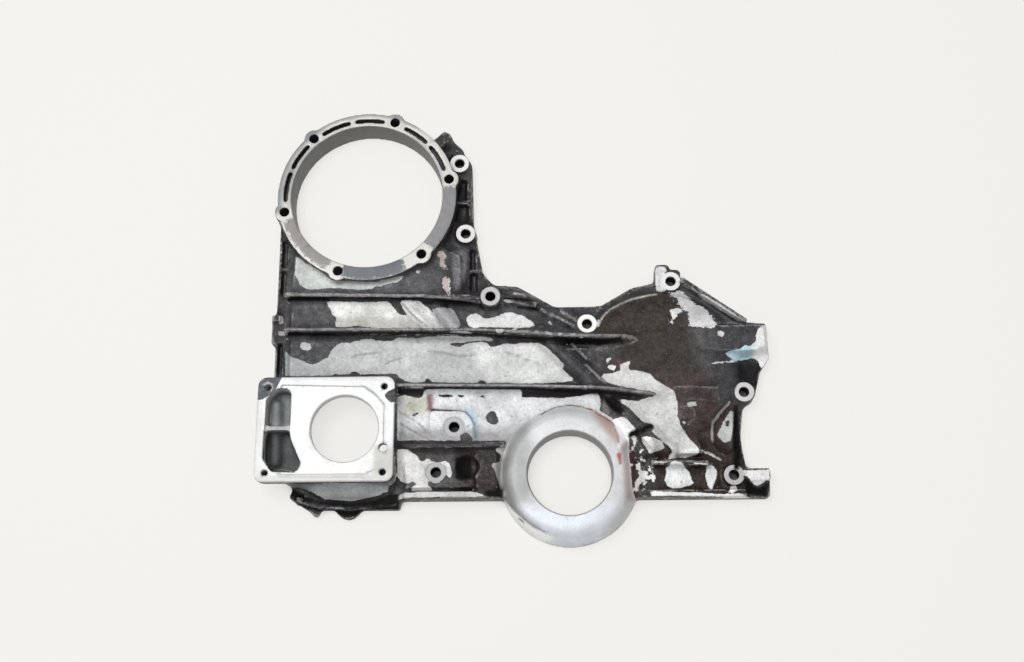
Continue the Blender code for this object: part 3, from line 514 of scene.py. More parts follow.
                     (694, 482.5), (692, 485), (686, 486), (680, 488), (672, 488.5), (667, 486), (664.5, 480),
                     (666, 474), (666, 468), (670, 465)],
    "sump_patch_b": [(706, 466), (712, 465), (716, 469), (717, 474), (716, 480), (713, 487), (711, 490),
                     (708, 487), (706, 481), (705.5, 474), (706.5, 470)],
    "ear": [(742, 470), (756, 470), (770, 469.5), (770, 481), (766, 480), (762, 484), (757, 486), (753, 484),
            (750, 480), (747, 476), (743, 475)],
    "lower_boss": [(730, 486), (736, 485), (738, 490), (735, 492.5), (729, 492)],
    "rail_lit_line_a": [(655, 461), (668, 461.5), (668, 463), (655, 462.6)],
    "rail_lit_line_b": [(694, 462.5), (709, 463.5), (709, 465), (694, 464)],
    "barrel_bulge": [(283, 483), (283, 486), (305, 489), (325, 499), (350, 501.5), (375, 496.5), (388, 491.5),
                     (389, 483)],
    "flange_glint_a": [(294, 501), (300, 499), (303, 503), (297, 506)],
    "flange_glint_b": [(302, 497), (306, 495), (309, 498), (305, 500)],
    "flange_glint_c": [(309, 507), (315, 506), (318, 509), (312, 511)],
    "flange_glint_d": [(369, 508), (373, 507), (374, 510), (370, 510)],
    "flange_lip": [(318, 510), (362, 509.5), (362, 511.5), (318, 512)],
    "lug_facet_a": [(278, 316), (283, 315), (284, 323), (279, 324.5)],
    "lug_facet_b": [(278, 331), (287, 331.5), (288, 335), (279, 336)],
    "rim_spot_a": [(280, 242), (282, 242), (282, 244.5), (280, 244.5)],
    "rim_spot_b": [(280, 251), (282, 251), (282, 253.5), (280, 253.5)],
}
PAINT_ISLANDS = {
    "streak_a": [(438, 395), (446, 394.5), (453, 395.5), (453, 397), (440, 397)],
    "streak_b": [(458, 395), (464, 395), (463, 397.5), (459, 397)],
    "streak_c": [(480, 395.5), (484, 395.5), (484, 397.5), (480, 397)],
    "disc": [(485.8, 417), (487.5, 413.5), (490.5, 411.5), (494, 411.5), (496.5, 414.5), (497.5, 417.5),
             (498.4, 420.5), (497.3, 423.8), (494, 424.8), (490, 423.5), (486.8, 420.5)],
    # Painted shade: the thin dark line along the plateau's top edge, kept dark.
    "line": [(431, 409), (440, 409.5), (457, 410), (456, 411.5), (440, 411), (431, 411)],
    "fleck": [(412, 415), (418, 412), (418, 414), (413, 416.5)],
    "low_wedge": [(460, 436), (464, 432.5), (468, 433), (471, 437), (473, 441), (461, 441)],
    "pocket_blob": [(725, 421), (729, 420), (729.5, 426), (726, 427)],
    "by_seal_top": [(552, 408), (560, 406), (566, 405), (560, 410), (553, 413)],
    "triangle_gap": [(684, 311), (688, 312), (688.5, 316), (686, 316)],
}
# Places darkened to near black, with less sheen. The bands under the ribs, the hook groove, the tower's slots, the
# strip down the right pocket, gallery_shadow and step_shadow are painted shade; the flange is black paint; the others
# are only darkened.
DARK_PLACES = {
    "under_barrel": [(293, 488), (300, 494), (320, 501), (350, 503.5), (375, 500), (390, 494), (399, 494),
                     (399, 504), (370, 507), (340, 507.5), (310, 503), (294, 496)],
    "hook": [(628, 437), (628.6, 433.8), (631.3, 431), (638.8, 427.6), (645, 425.2), (651.3, 423.8), (653.4, 425.6),
             (650, 429.2), (643.8, 432.9), (637.5, 435.2), (632.5, 436), (630, 438)],
    "gallery_shadow": [(604, 396), (614, 396), (620, 403), (625, 411), (621, 415), (612, 409.5), (606, 402.5)],
    "tower_slot": [(503, 297), (512, 297.2), (522, 298), (533, 300.5), (533, 302.5), (525, 302), (514, 300),
                   (503, 299.2)],
    "tower_slot_low": [(517, 305.5), (528, 306.8), (539, 308.5), (538, 310.8), (526, 309.6), (517, 308)],
    "by_barrel_left": [(284, 488), (293, 488), (300, 496), (296, 499), (288, 495)],
    "rib_one_shadow": [(286, 296.4), (428, 297.4), (470, 302), (470, 304.4), (428, 299.8), (286, 298.8)],
    "rib_two_shadow": [(288, 331.4), (440, 331.6), (490, 333.8), (560, 337.8), (600, 339.2), (622, 339.2),
                      (600, 343), (560, 341.2), (490, 337), (440, 334.8), (288, 334.6)],
    "rib_four_shadow": [(424, 386.8), (520, 387), (590, 389.2), (640, 394.5), (600, 395), (560, 392.4),
                       (520, 389.8), (424, 389)],
    "flange": [(292, 498), (300, 503), (320, 508), (350, 510), (395, 505), (399, 497), (400, 510), (372, 513),
               (350, 517), (320, 513), (300, 508)],
    "dimple": [(455, 458), (463, 455), (471, 457), (473, 468), (471, 478), (462, 481), (455, 478)],
    "under_ear": [(744, 476), (750, 482), (757, 488), (764, 485), (769, 483), (767, 497), (745, 494)],
    "pocket_strip": [(733.5, 405), (738, 405), (739, 430), (741, 455), (739, 470), (734, 470), (733, 440)],
    "lip_left_end": [(485, 490), (503, 490), (503, 497), (486, 497)],
    "step_shadow": [(592, 340), (622, 336), (622, 341), (596, 346)],
}
SEAL_PAINT = [(629, 438), (629, 450), (629.2, 458), (630.3, 466), (631.2, 476), (632, 484), (633, 492), (636, 500),
              (648, 500), (648, 438)]
SPECKLE_DEPTH = 1.0
SPECKLED_PLACES = {
    "pillar": [(436, 248), (450, 248), (452, 298), (438, 298)],
    "by_seal": [(628, 440), (640, 436), (652, 450), (657, 470), (655, 490), (640, 494), (632, 492), (634, 470)],
    "right_triangle": [(668, 290), (690, 292), (720, 316), (720, 330), (685, 330), (664, 325)],
    "seal_top_right": [(580, 408), (600, 412), (618, 422), (622, 450), (612, 440), (596, 424)],
}


GRAINY_PLACES = {
    "dome": [(585, 335), (615, 300), (655, 290), (672, 300), (690, 330), (695, 375), (690, 400), (735, 410),
             (725, 455), (690, 445), (672, 395), (640, 385), (600, 370)],
    "by_sump": [(632, 455), (740, 460), (740, 495), (640, 495)],
}


# Fine painted lines of light and shade on the paint: painted highlights where the light catches an edge of the glossy
# paint, and near-black lines of painted shade under the ribs' edges: colour, half width in pixels, line.
LIGHT_AND_SHADE_LINES = [
    ("c6c4c4", 0.8, [(599, 324), (601, 319.5), (604.5, 314.8), (611, 309), (620, 304), (632, 299.3), (645, 296),
                     (656, 294.4)]),
    ("8f8c8d", 0.6, [(583, 335.4), (610, 335), (627, 335), (634, 337), (637.5, 340.5)]),
    ("77757a", 0.6, [(566, 349), (590, 349.4), (612, 348), (627, 345), (635, 342)]),
    ("8f8c8d", 0.6, [(600, 387), (620, 388.4), (640, 391), (652, 393.2), (658, 395.8)]),
    ("a09ea0", 0.9, [(572, 344), (579, 351), (586, 358.5)]),
    ("a5a3a5", 1.0, [(586, 365), (594, 373), (606, 383)]),
    ("8a8789", 0.6, [(674, 386.6), (690, 386.4), (706, 387), (718, 387.6)]),
    ("6c6a6c", 0.5, [(690, 399), (704, 400), (719, 401)]),
    ("b9b7b8", 0.7, [(543, 310), (549, 314.5), (556, 316.5), (560, 318.5), (567, 322), (574, 325.8)]),
    ("9b999a", 0.6, [(561, 311.5), (570, 316), (577, 321)]),
    ("050506", 0.8, [(545, 313.5), (556, 319.5), (566, 325), (572, 328)]),
    ("0a0a0b", 0.7, [(285, 297.3), (360, 297.6), (428, 298.4), (470, 303)]),
    ("a2a0a1", 0.4, [(285, 294), (360, 294.4), (425, 295.2)]),
    ("a9a7a8", 0.5, [(286, 328.8), (330, 329), (400, 329), (480, 329.4), (530, 331.5), (556, 334)]),
    ("060607", 0.9, [(290, 332.8), (360, 333), (430, 333), (470, 334), (490, 335.4)]),
    ("b2b0b2", 0.5, [(398, 384.3), (440, 384.6), (480, 384.8), (520, 385), (560, 385.6), (592, 386.5)]),
    ("060607", 0.8, [(400, 388), (424, 387.6), (470, 387.4), (520, 387.7), (580, 389.6), (600, 391), (640, 396)]),
    ("d8dadc", 0.8, [(265.5, 384.5), (268, 383), (270.8, 384), (271.8, 386.5), (271, 389.5)]),
    ("cfced0", 0.7, [(638.8, 431.3), (643, 429.4), (647.5, 427.8)]),
    ("ccd8da", 0.9, [(335, 509), (340, 507.5), (343, 509.5)]),
    ("9ea0a2", 0.7, [(300, 503), (318, 508.5), (330, 511.5)]),
    ("8a8788", 0.5, [(546, 306), (556, 306), (575, 306.5), (597, 306.8)]),
    ("76737a", 0.6, [(490, 287), (500, 287.4), (513, 287.6), (521, 291), (531, 295.6), (544, 302)]),
    ("b9b8b9", 0.7, [(514, 294), (518, 293.6), (523, 294.6), (524, 296)]),
    ("8f8d90", 0.7, [(503, 300), (510, 300.2), (516, 302.5), (530, 305.5), (540, 308)]),
    ("7e7c7f", 0.6, [(470, 188), (473, 215), (478, 245), (484, 270), (489, 284)]),
    ("8a8889", 0.6, [(458, 203), (464, 202.2), (471, 201)]),
    ("8a8889", 0.6, [(470, 271), (476, 270.5), (482, 271)]),
    ("9a989b", 0.6, [(683, 285), (700, 294), (720, 305), (736, 314.5), (747, 321.6)]),
    ("7b797b", 0.6, [(607, 304), (618, 296), (630, 291), (645, 286.5), (655, 284.5)]),
    ("8d8b8c", 0.6, [(708, 322.6), (725, 323), (745, 323.2), (758, 323.6)]),
    ("77757a", 0.6, [(681, 407), (686, 405.6), (692, 407), (695.5, 412), (694.5, 418), (690, 421.5)]),
    ("9b9a9a", 0.7, [(655, 461.6), (675, 461), (700, 462), (711, 464)]),
    ("8f8e90", 0.6, [(747, 408), (742, 420), (741, 436), (744, 455), (748, 468)]),
]
# Fine lines laid on the bare metal: colour, half width in pixels, line. Most are stains. The white line on the rail's
# crest and the white line along the duct are painted highlights; the grey line down the duct's flank, the dark line
# along the plateau's top edge and the blue-grey line down its right edge are painted shade.
STAIN_LIGHT_AND_SHADE_LINES = [
    ("5a3a3a", 0.6, [(540, 415), (546, 411.5), (553, 408), (560, 406.5), (566, 405.5), (572, 405.5), (580, 406.5),
                     (588, 408.5), (594, 410.5)]),
    ("9a4034", 0.7, [(588, 408.8), (592.5, 410), (597.5, 413.6), (605, 418), (611.3, 421.8), (613.5, 425)]),
    ("9c3c22", 1.7, [(618.9, 453.6), (619.4, 458), (620.4, 462.8)]),
    ("a88a84", 0.8, [(613.5, 425), (615.5, 429), (617.5, 435), (618.5, 442)]),
    ("8d9196", 0.7, [(506, 500), (514, 510), (524, 519), (536, 527.5), (548, 533)]),
    ("565a60", 0.7, [(519, 518.5), (523, 522)]),
    ("ffffff", 0.9, [(675, 449), (684, 450.5), (697, 449)]),
    ("9d9d9b", 1.1, [(352, 357), (362, 354), (375, 353)]),
    ("929291", 0.7, [(383, 365), (392, 361), (402, 358)]),
    ("a5a5a3", 1.4, [(440, 352), (458, 356), (474, 355)]),
    ("b0b0ae", 0.9, [(505, 352), (520, 356), (541, 366)]),
    ("87868a", 1.0, [(402, 303), (410, 312), (420, 321), (428, 327)]),
    ("f6f6f6", 1.6, [(412, 303), (424, 313), (436, 325)]),
    ("6c6866", 0.5, [(427, 397), (429.5, 404), (432, 409.6), (446, 410.4), (460, 410.6), (466, 412.4), (471, 417.5)]),
    ("8b9aa6", 1.0, [(471, 417.5), (474, 424), (474.5, 432), (474, 438)]),
    ("bcbfc1", 0.6, [(445.8, 428.5), (447.4, 423.6), (451, 420.2), (455, 419.4), (459.5, 420.8), (462.8, 424.4),
                     (464, 429), (462.6, 433.6), (459, 436.8), (454.5, 438)]),
    ("8a8a88", 0.8, [(401, 424), (413, 431), (424, 437), (432, 440.5)]),
    ("9c9c9a", 0.6, [(401, 413), (412, 419), (424, 428), (434, 438)]),
]
PAD_PAINT = {
    "top_left": [(256, 400), (257, 384), (262, 378), (268, 375.5), (282.5, 376), (279, 383), (276, 389), (270, 395),
                 (262, 399.5)],
    "top_right": [(384.5, 395), (388, 391.5), (394, 388.5), (397, 388), (397, 401), (391, 402.5), (386, 398)],
}


def smooth_step(values, low, high):
    t = np.clip((values - low) / (high - low), 0, 1)
    return t * t * (3 - 2 * t)


def outline_distance(points, outline):
    """Signed distance from each point to a closed outline, above zero inside it."""
    corners = np.array(outline, dtype=float)
    reach = FAR_MM / PIXEL_MM
    near = np.all((points > corners.min(axis=0) - reach) & (points < corners.max(axis=0) + reach), axis=1)
    distance = np.full(len(points), -reach)
    close = points[near]
    following = np.roll(corners, -1, axis=0)
    run = following - corners
    offset = close[:, None, :] - corners[None]
    along = np.clip((offset * run).sum(axis=2) / np.maximum((run * run).sum(axis=1), 1e-9), 0, 1)
    gap = np.linalg.norm(offset - along[..., None] * run, axis=2).min(axis=1)
    level = close[:, 1, None]
    crossing = (corners[:, 1] > level) != (following[:, 1] > level)
    slope = run[:, 0] / np.where(run[:, 1] == 0, 1e-9, run[:, 1])
    inside = (crossing & (close[:, 0, None] < corners[:, 0] + (level - corners[:, 1]) * slope)).sum(axis=1) % 2 == 1
    distance[near] = np.clip(np.where(inside, gap, -gap), -reach, reach)
    return distance


def line_distance(points, line):
    """Distance from each point to an open line."""
    distance = np.full(len(points), FAR_MM)
    for (x0, y0), (x1, y1) in zip(line, line[1:]):
        run = np.array([x1 - x0, y1 - y0])
        offset = points - np.array([x0, y0])
        along = np.clip(offset @ run / (run @ run), 0, 1)
        distance = np.minimum(distance, np.linalg.norm(offset - along[:, None] * run, axis=1))
    return distance


def any_outline(points, outlines):
    """Distance, in millimetres, to the nearest edge of any of the outlines, above zero inside."""
    distance = np.full(len(points), -FAR_MM)
    for outline in outlines.values():
        distance = np.maximum(distance, outline_distance(points, outline) * PIXEL_MM)
    return distance


def from_crank(places):
    """Places in millimetres from the crankshaft's centre, with the height over the rear face."""
    return places / MM - np.array([CRANK[0], CRANK[1], 0.0])


def radius_from(millimetres, centre):
    return np.hypot(millimetres[:, 0] - centre[0], millimetres[:, 1] - centre[1])


def bare_distance(places):
    """How far inside the bare metal each point lies, in millimetres, below zero in the paint."""
    pixels = photo_pixels(places)
    bare = any_outline(pixels, BARE_PLACES)
    bare = np.minimum(bare, -any_outline(pixels, PAINT_ISLANDS))
    speckled = smooth_step(any_outline(pixels, SPECKLED_PLACES), -2, 2)
    bare = np.maximum(bare, -SPECKLE_DEPTH - FAR_MM * (1 - speckled))
    millimetres = from_crank(places)
    seal = SEAL_RADIUS + 0.4 - radius_from(millimetres, SEAL_CENTRE)
    seal = np.minimum(seal, -outline_distance(pixels, SEAL_PAINT) * PIXEL_MM)
    return np.clip(np.maximum(bare, seal), -FAR_MM, FAR_MM)


def nearest_border(places):
    """Distance, in millimetres, to the nearest line where the colour changes sharply."""
    pixels = photo_pixels(places)
    nearest = np.abs(bare_distance(places))
    nearest = np.minimum(nearest, np.abs(any_outline(pixels, PAD_PAINT)))
    nearest = np.minimum(nearest, np.abs(any_outline(pixels, DARK_PLACES)))
    for code, half_width, line in LIGHT_AND_SHADE_LINES + STAIN_LIGHT_AND_SHADE_LINES:
        nearest = np.minimum(nearest, line_distance(pixels, line) * PIXEL_MM)
    millimetres = from_crank(places)
    for centre in SCREWS:
        nearest = np.minimum(nearest, np.abs(radius_from(millimetres, centre) - SPOT_FACE))
    step = np.abs(outline_distance(millimetres[:, :2], rounded(PAD_STEP_CORNERS)))
    return np.minimum(nearest, np.where(millimetres[:, 2] > PAD_FACE - 2, step, FAR_MM))


FINEST_EDGE = 1.1 * MM
EDGE_GROWTH = 0.55
# Each round of splitting takes the edges longer than this many times the length wanted there.
SPLIT_RATIOS = (8.0, 6.0, 4.5, 3.4, 2.6, 2.6, 2.0, 2.0, 1.6, 1.6, 1.35, 1.35)
MOST_FACES = 195000


def refine_at_paint_edges(piece):
    """Split the long edges near the paint's borders, so that the borders are drawn sharply."""
    mesh = bmesh.new()
    mesh.from_mesh(piece.data)
    bmesh.ops.triangulate(mesh, faces=mesh.faces[:])
    for ratio in SPLIT_RATIOS:
        mesh.verts.index_update()
        places = np.array([v.co for v in mesh.verts])
        distance = nearest_border(places) * MM
        ends = np.array([(e.verts[0].index, e.verts[1].index) for e in mesh.edges])
        length = np.linalg.norm(places[ends[:, 0]] - places[ends[:, 1]], axis=1)
        nearest = np.minimum(distance[ends[:, 0]], distance[ends[:, 1]])
        facing = np.array([v.normal.z for v in mesh.verts])
        front = np.maximum(facing[ends[:, 0]], facing[ends[:, 1]]) > 0.15
        limit = FINEST_EDGE + EDGE_GROWTH * np.maximum(nearest - 0.5 * length, 0)
        chosen = np.nonzero(front & (length > limit * ratio))[0]
        room = (MOST_FACES - len(mesh.faces)) // 2
        chosen = chosen[np.argsort(-length[chosen])][:max(room, 0)]
        if len(chosen) == 0:
            continue
        mesh.edges.ensure_lookup_table()
        bmesh.ops.subdivide_edges(mesh, edges=[mesh.edges[i] for i in chosen], cuts=1)
        bmesh.ops.triangulate(mesh, faces=[f for f in mesh.faces if len(f.verts) > 3])
    mesh.to_mesh(piece.data)
    mesh.free()


def keep_in_box(mesh, box):
    """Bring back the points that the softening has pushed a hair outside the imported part's box."""
    places = np.clip(vertex_places(mesh), np.array(box[0]), np.array(box[1]))
    mesh.vertices.foreach_set("co", places.astype(np.float32).ravel())
    mesh.update()


refine_at_paint_edges(casting)
keep_in_box(casting.data, cad_box)
casting.data.validate()
casting.data.shade_smooth()
casting.data.set_sharp_from_angle(angle=math.radians(35))
print("faces", len(casting.data.polygons), "points", len(casting.data.vertices))


# The colours of the paint and of the metal change from place to place: the paint is browner over
# the dome and greyer at the left, and the metal is stained or blued. Light and shade are painted
# into these colours too: lit crests and shaded sides of the ribs, lighter and darker sides of the seal
# boss, darker bore walls, and grey arcs of painted reflection on the ring's face, with more named
# below. Each tint below is laid softly over the one before it.
PAINT_SHEEN = 0.004
DARKEST = 0.002
PAINT_COLOUR = "434245"
METAL_COLOUR = "d2d4d5"
REAR_COLOUR = "8f9092"
PAINT_TINTS = [
    ("left_plate", "4c4b4f", 8, [(282, 255), (470, 255), (475, 300), (440, 330), (283, 330)]),
    ("below_ring", "5a5a5f", 5, [(300, 262), (400, 262), (432, 282), (430, 296), (285, 296)]),
    ("band_one", "47464b", 4, [(283, 300), (470, 300), (470, 328), (283, 328)]),
    ("pillar", "2f2d30", 6, [(440, 130), (480, 200), (495, 305), (440, 290), (455, 200)]),
    # Painted reflection: the lighter grey down the pillar's face.
    ("pillar_face_reflection", "77777b", 3, [(453, 252), (466, 250), (467, 262), (464, 280), (456, 290), (453, 282)]),
    ("dome", "38332f", 8, [(590, 330), (620, 300), (660, 290), (700, 310), (712, 345), (700, 385), (640, 400),
                           (595, 375)]),
    # Painted light: the lighter grey of the dome's right slope where it faces the light.
    ("dome_slope_lit", "4a494e", 5, [(675, 300), (698, 315), (708, 340), (705, 385), (690, 390), (700, 345)]),
    ("panel", "463b3b", 8, [(620, 375), (720, 370), (740, 400), (735, 460), (690, 455), (670, 400)]),
    ("block", "47474c", 5, [(708, 318), (770, 320), (768, 400), (720, 405), (708, 365)]),
    ("lower_right", "2e2623", 5, [(655, 440), (745, 440), (745, 500), (655, 500)]),
    ("dome_red", "8a545e", 1.0, [(612.5, 360.5), (619.5, 359.5), (622, 362.5), (621, 368), (617, 367), (616.5, 364.4),
                                 (612, 364.4)]),
    ("middle_step", "3b3a3d", 6, [(573, 340), (620, 340), (620, 380), (573, 380)]),
    ("low_brown", "251d1c", 6, [(455, 446), (512, 446), (506, 500), (455, 500)]),
    ("low_middle", "353033", 5, [(397, 440), (455, 440), (455, 452), (397, 452)]),
    ("seal_red", "4a2a2e", 1.5, [(628.5, 448), (635, 452), (635, 466), (635, 482), (637, 491), (641, 498), (635, 500),
                                 (632, 490), (630.5, 470), (628.8, 458)]),
    ("gallery_side", "6d696a", 1, [(601, 407), (604, 401), (612, 411), (618, 417), (612, 420), (606, 414)]),
    ("block_low", "17181c", 6, [(735, 362), (765, 360), (765, 386), (748, 392), (737, 386)]),
    ("gutter", "232124", 3, [(396, 384), (640, 384), (640, 400), (396, 400)]),
    ("left_lug", "454246", 4, [(268, 312), (290, 312), (290, 342), (268, 342)]),
    ("left_edge", "2c2a2d", 3, [(276, 225), (284, 235), (285, 380), (274, 380)]),
    ("lower_flange", "0b0e12", 4, [(285, 490), (395, 490), (395, 520), (285, 520)]),
    # Painted shade on the ribs' lower sides, and painted highlights along their crests.
    ("rib_one_shaded_side", "161517", 1.0, [(283, 297.5), (428, 298.5), (480, 302), (486, 310), (470, 313), (440, 306),
                                     (400, 301.5), (283, 301)]),
    ("rib_two_shaded_side", "141315", 1.2, [(285, 331), (480, 331.5), (560, 336.5), (632, 338), (634, 342), (600, 346),
                                     (560, 346), (480, 336.5), (285, 336)]),
    ("rib_four_shaded_side", "161517", 1.2, [(396, 387.5), (430, 387), (520, 388.5), (600, 389.5), (655, 396), (640, 398.5),
                                      (600, 398.5), (560, 397.5), (520, 392.5), (424, 390.5), (396, 394)]),
    ("rib_one_lit_crest", "827f82", 0.8, [(283, 293.8), (430, 295), (480, 301), (480, 303), (430, 297), (283, 296)]),
    ("rib_two_lit_crest", "858285", 0.8, [(285, 328), (480, 328.5), (560, 333), (630, 335), (636, 339), (560, 335.6),
                                      (480, 330.6), (285, 330.2)]),
    ("rib_four_lit_crest", "827f82", 0.8, [(396, 383.5), (520, 383.8), (600, 386), (652, 391.5), (657, 395),
                                       (600, 388.6), (520, 386.6), (396, 386.2)]),
    ("flange_shadow", "08090a", 2.0, [(296, 492), (320, 501), (352, 504), (392, 494), (394, 508), (340, 510),
                                      (300, 506)]),
    ("pad_top_left", "545862", 2, [(256, 374), (284, 374), (284, 402), (256, 402)]),
]
METAL_TINTS = [
    ("band_one", "e8e9e6", 5, [(325, 298), (392, 298), (450, 330), (330, 330)]),
    ("band_one_low", "c2c2bd", 5, [(330, 316), (395, 318), (440, 330), (330, 330)]),
    # Painted shade: the greyer tone over the ducts' flanks.
    ("band_one_right", "a9a9ac", 4, [(429, 305), (462, 305), (462, 330), (440, 330)]),
    ("band_one_end", "e6e7e7", 3, [(464, 310), (537, 310), (537, 330), (464, 330)]),
    ("band_two", "c6c7c9", 6, [(283, 334), (575, 334), (575, 385), (283, 385)]),
    # Painted shade: the darker blue-grey of the left slope that faces away from the light.
    ("band_two_shaded_flank", "8b979c", 3, [(280, 340), (290, 340), (291, 378), (280, 378)]),
    ("band_two_left", "a9acad", 8, [(288, 352), (330, 360), (330, 378), (288, 378)]),
    ("band_two_right", "dadcdc", 8, [(470, 340), (575, 340), (575, 385), (490, 385)]),
    ("below_ring", "ccd1cf", 4, [(292, 255), (405, 270), (405, 292), (292, 292)]),
    ("pillar_top", "c0b4b1", 2, [(435, 248), (449, 248), (449, 298), (435, 298)]),
    ("band_three", "dfe1e5", 6, [(396, 386), (610, 386), (600, 440), (396, 442)]),
    ("greenish", "c9cabc", 5, [(403, 398), (427, 398), (427, 414), (405, 414)]),
    ("rust", "8f6a6b", 2, [(427, 394), (433, 394), (433, 411), (427, 411)]),
    # Painted reflection and shade: the bluish grey down the plateau's right slope.
    ("plateau_slope_reflection", "c8e0ef", 3, [(464, 407), (470, 409), (476, 418), (478, 430), (478, 440), (473, 440), (472, 428),
                                (469, 418)]),
    ("low_shade", "aeb0b2", 4, [(397, 430), (460, 428), (500, 432), (505, 442), (397, 442)]),
    ("lower_left", "e4e4e3", 4, [(396, 446), (455, 446), (455, 492), (396, 492)]),
    ("sump_lip", "cfd1d1", 3, [(396, 490), (500, 490), (500, 502), (396, 502)]),
    ("right_patch", "dedfe0", 5, [(600, 366), (680, 368), (702, 452), (668, 462), (640, 420), (600, 384)]),
    ("gallery_low", "b9bab9", 3, [(640, 434), (668, 438), (668, 455), (640, 456)]),
    ("dome_chips", "e6e4e5", 2, [(603, 355), (632, 355), (632, 373), (603, 373)]),
    ("right_triangle", "e2e4e5", 4, [(665, 286), (722, 310), (720, 330), (668, 330)]),
    ("gusset", "c3c6c8", 3, [(695, 292), (748, 320), (745, 326), (700, 302)]),
    ("upper_boss", "dcdcde", 3, [(653, 262), (682, 262), (682, 294), (653, 294)]),
    ("upper_boss_shade", "a5a5a8", 2, [(668, 270), (682, 274), (682, 284), (668, 282)]),
    ("block_end", "f4f6f8", 3, [(722, 322), (771, 322), (771, 372), (722, 372)]),
    ("block_blue", "c1deea", 3, [(724, 342), (753, 342), (753, 362), (724, 362)]),
    ("ear", "f2f4f6", 3, [(740, 467), (772, 467), (772, 488), (740, 488)]),
    ("sump_lip_right", "ffffff", 2, [(648, 488.5), (730, 489), (755, 502), (650, 502)]),
    ("sump_patches", "f0f2f4", 3, [(662, 458), (720, 462), (718, 492), (662, 490)]),
    ("bulge", "a9aeb0", 3, [(280, 482), (390, 482), (390, 504), (280, 504)]),
    # Painted shade: the bulge under the pad darker at its left.
    ("bulge_left_shade", "868c91", 4, [(280, 482), (310, 482), (312, 500), (280, 500)]),
    # Painted glints: lighter facets on the black lower flange.
    ("flange_glints", "8f9093", 2, [(290, 496), (380, 496), (380, 514), (290, 514)]),
    ("lug_facets", "a3a0a2", 2, [(276, 312), (290, 312), (290, 338), (276, 338)]),
    # Painted light and shade on the seal boss: darker at its left and right, brighter at its top and bottom, as the
    # light falls on its rounded shoulder.
    ("seal_left_shade", "a9aaab", 8, [(500, 430), (530, 420), (532, 520), (505, 510), (498, 470)]),
    ("seal_top_lit", "dddfe2", 8, [(530, 405), (600, 405), (600, 432), (535, 432)]),
    ("seal_right", "d8d8dc", 8, [(600, 430), (640, 440), (640, 510), (605, 510)]),
    ("crumbs", "ffffff", 2, [(626, 434), (650, 434), (658, 466), (657, 492), (636, 497), (632, 470)]),
    ("seal_bottom_lit", "e3e9f2", 8, [(515, 505), (620, 505), (600, 548), (530, 548)]),
]
# Grey arcs of painted reflection on the ring's machined face: name, colour, from and to in degrees, inner and outer
# radius in millimetres.
RING_REFLECTION_ARCS = [
    ("lower_left", "928f8b", 198, 244, 66, 79.2), ("bottom", "6d7076", 254, 298, 66, 81.2),
    ("right", "8b8b8f", -41, 6, 66, 83.5),
]
RING_SHADES = [
    ("upper_left", "8f9194", 122, 192, 77.0, 90, 3.0), ("upper_left_inner", "b2b2b3", 130, 190, 60, 73, 2.5),
    ("top_outer", "9c9c9d", 55, 125, 79.0, 90, 1.8), ("right_top", "b9b9ba", 10, 55, 60, 71, 2.0),
    ("slot_dirt", "8e9092", 158, 180, 71.5, 77, 1.5),
]
SEAL_SHADES = [
    ("left_rim", "8a8a89", 165, 240, 54, 66, 4.0),
]
SEAL_STAINS = [
    ("haze", "c9b3ad", 4, [(592, 412), (611, 421), (617, 432), (619, 446), (610, 436), (600, 424)]),
    ("right_slope", "b0a9a6", 3, [(620, 446), (628, 442), (629, 458), (631, 476), (632, 490), (634, 500), (626, 502),
                                  (624, 480), (622.5, 462)]),
    ("patch_low_left", "fbfcfd", 1.5, [(505, 501), (512, 509), (522, 518.5), (534, 527.5), (544, 532.5), (553, 537),
                                       (546, 545), (528, 540), (510, 522), (500, 506)]),
    ("white_patch", "f7f8fa", 0.8, [(612, 420), (622, 416), (630, 422), (636, 429), (629, 433), (627, 441),
                                    (622, 443), (619, 451), (618, 440), (616, 430)]),
]
SPOT_COLOURS = ["e9e9eb", "e5e4e5", "fcfcfc", "f4f5f7", "dfdee1", "c7c6c9", "abadb0", "a7a8aa", "c0bfc1"]
PAD_STAINS = [
    ("lower_right", "bdbdba", [(374, 446), (394, 446), (394, 482), (372, 482)]),
    ("lower_edge", "c6c6c4", [(256, 474), (394, 474), (394, 484), (256, 484)]),
    ("left_edge", "cfcfce", [(255, 400), (264, 400), (262, 480), (255, 480)]),
    ("upper_edge", "cdcdcd", [(282, 376), (392, 376), (392, 381), (282, 381)]),
]
# Tints on the pad, each laid below a height: the kidney pocket's greys are painted shade inside it, darker towards its
# lower end.
PAD_TINTS_AND_SHADE = [
    ("kidney", "868a8b", [(266, 384), (292, 384), (292, 437), (302, 462), (296, 474), (264, 466), (262, 398)], 30.0),
    ("web", "a4a6a5", [(264, 423), (291, 423), (291, 433), (264, 433)], 36.5),
    ("kidney_low_shade", "55585a", [(262, 432), (294, 432), (302, 462), (296, 474), (264, 466)], 30.0),
]


def linear_colour(code):
    """A hexadecimal colour in linear light."""
    parts = np.array([int(code[i:i + 2], 16) for i in (0, 2, 4)]) / 255
    return np.where(parts <= 0.04045, parts / 12.92, ((parts + 0.055) / 1.055) ** 2.4)


def lay_tint(colours, share, code):
    return colours + share[:, None] * (linear_colour(code) - colours)


def lay_tints(pixels, base, tints):
    colours = np.tile(linear_colour(base), (len(pixels), 1))
    for name, code, softness, outline in tints:
        distance = outline_distance(pixels, outline)
        colours = lay_tint(colours, smooth_step(distance, -softness, softness), code)
    return colours


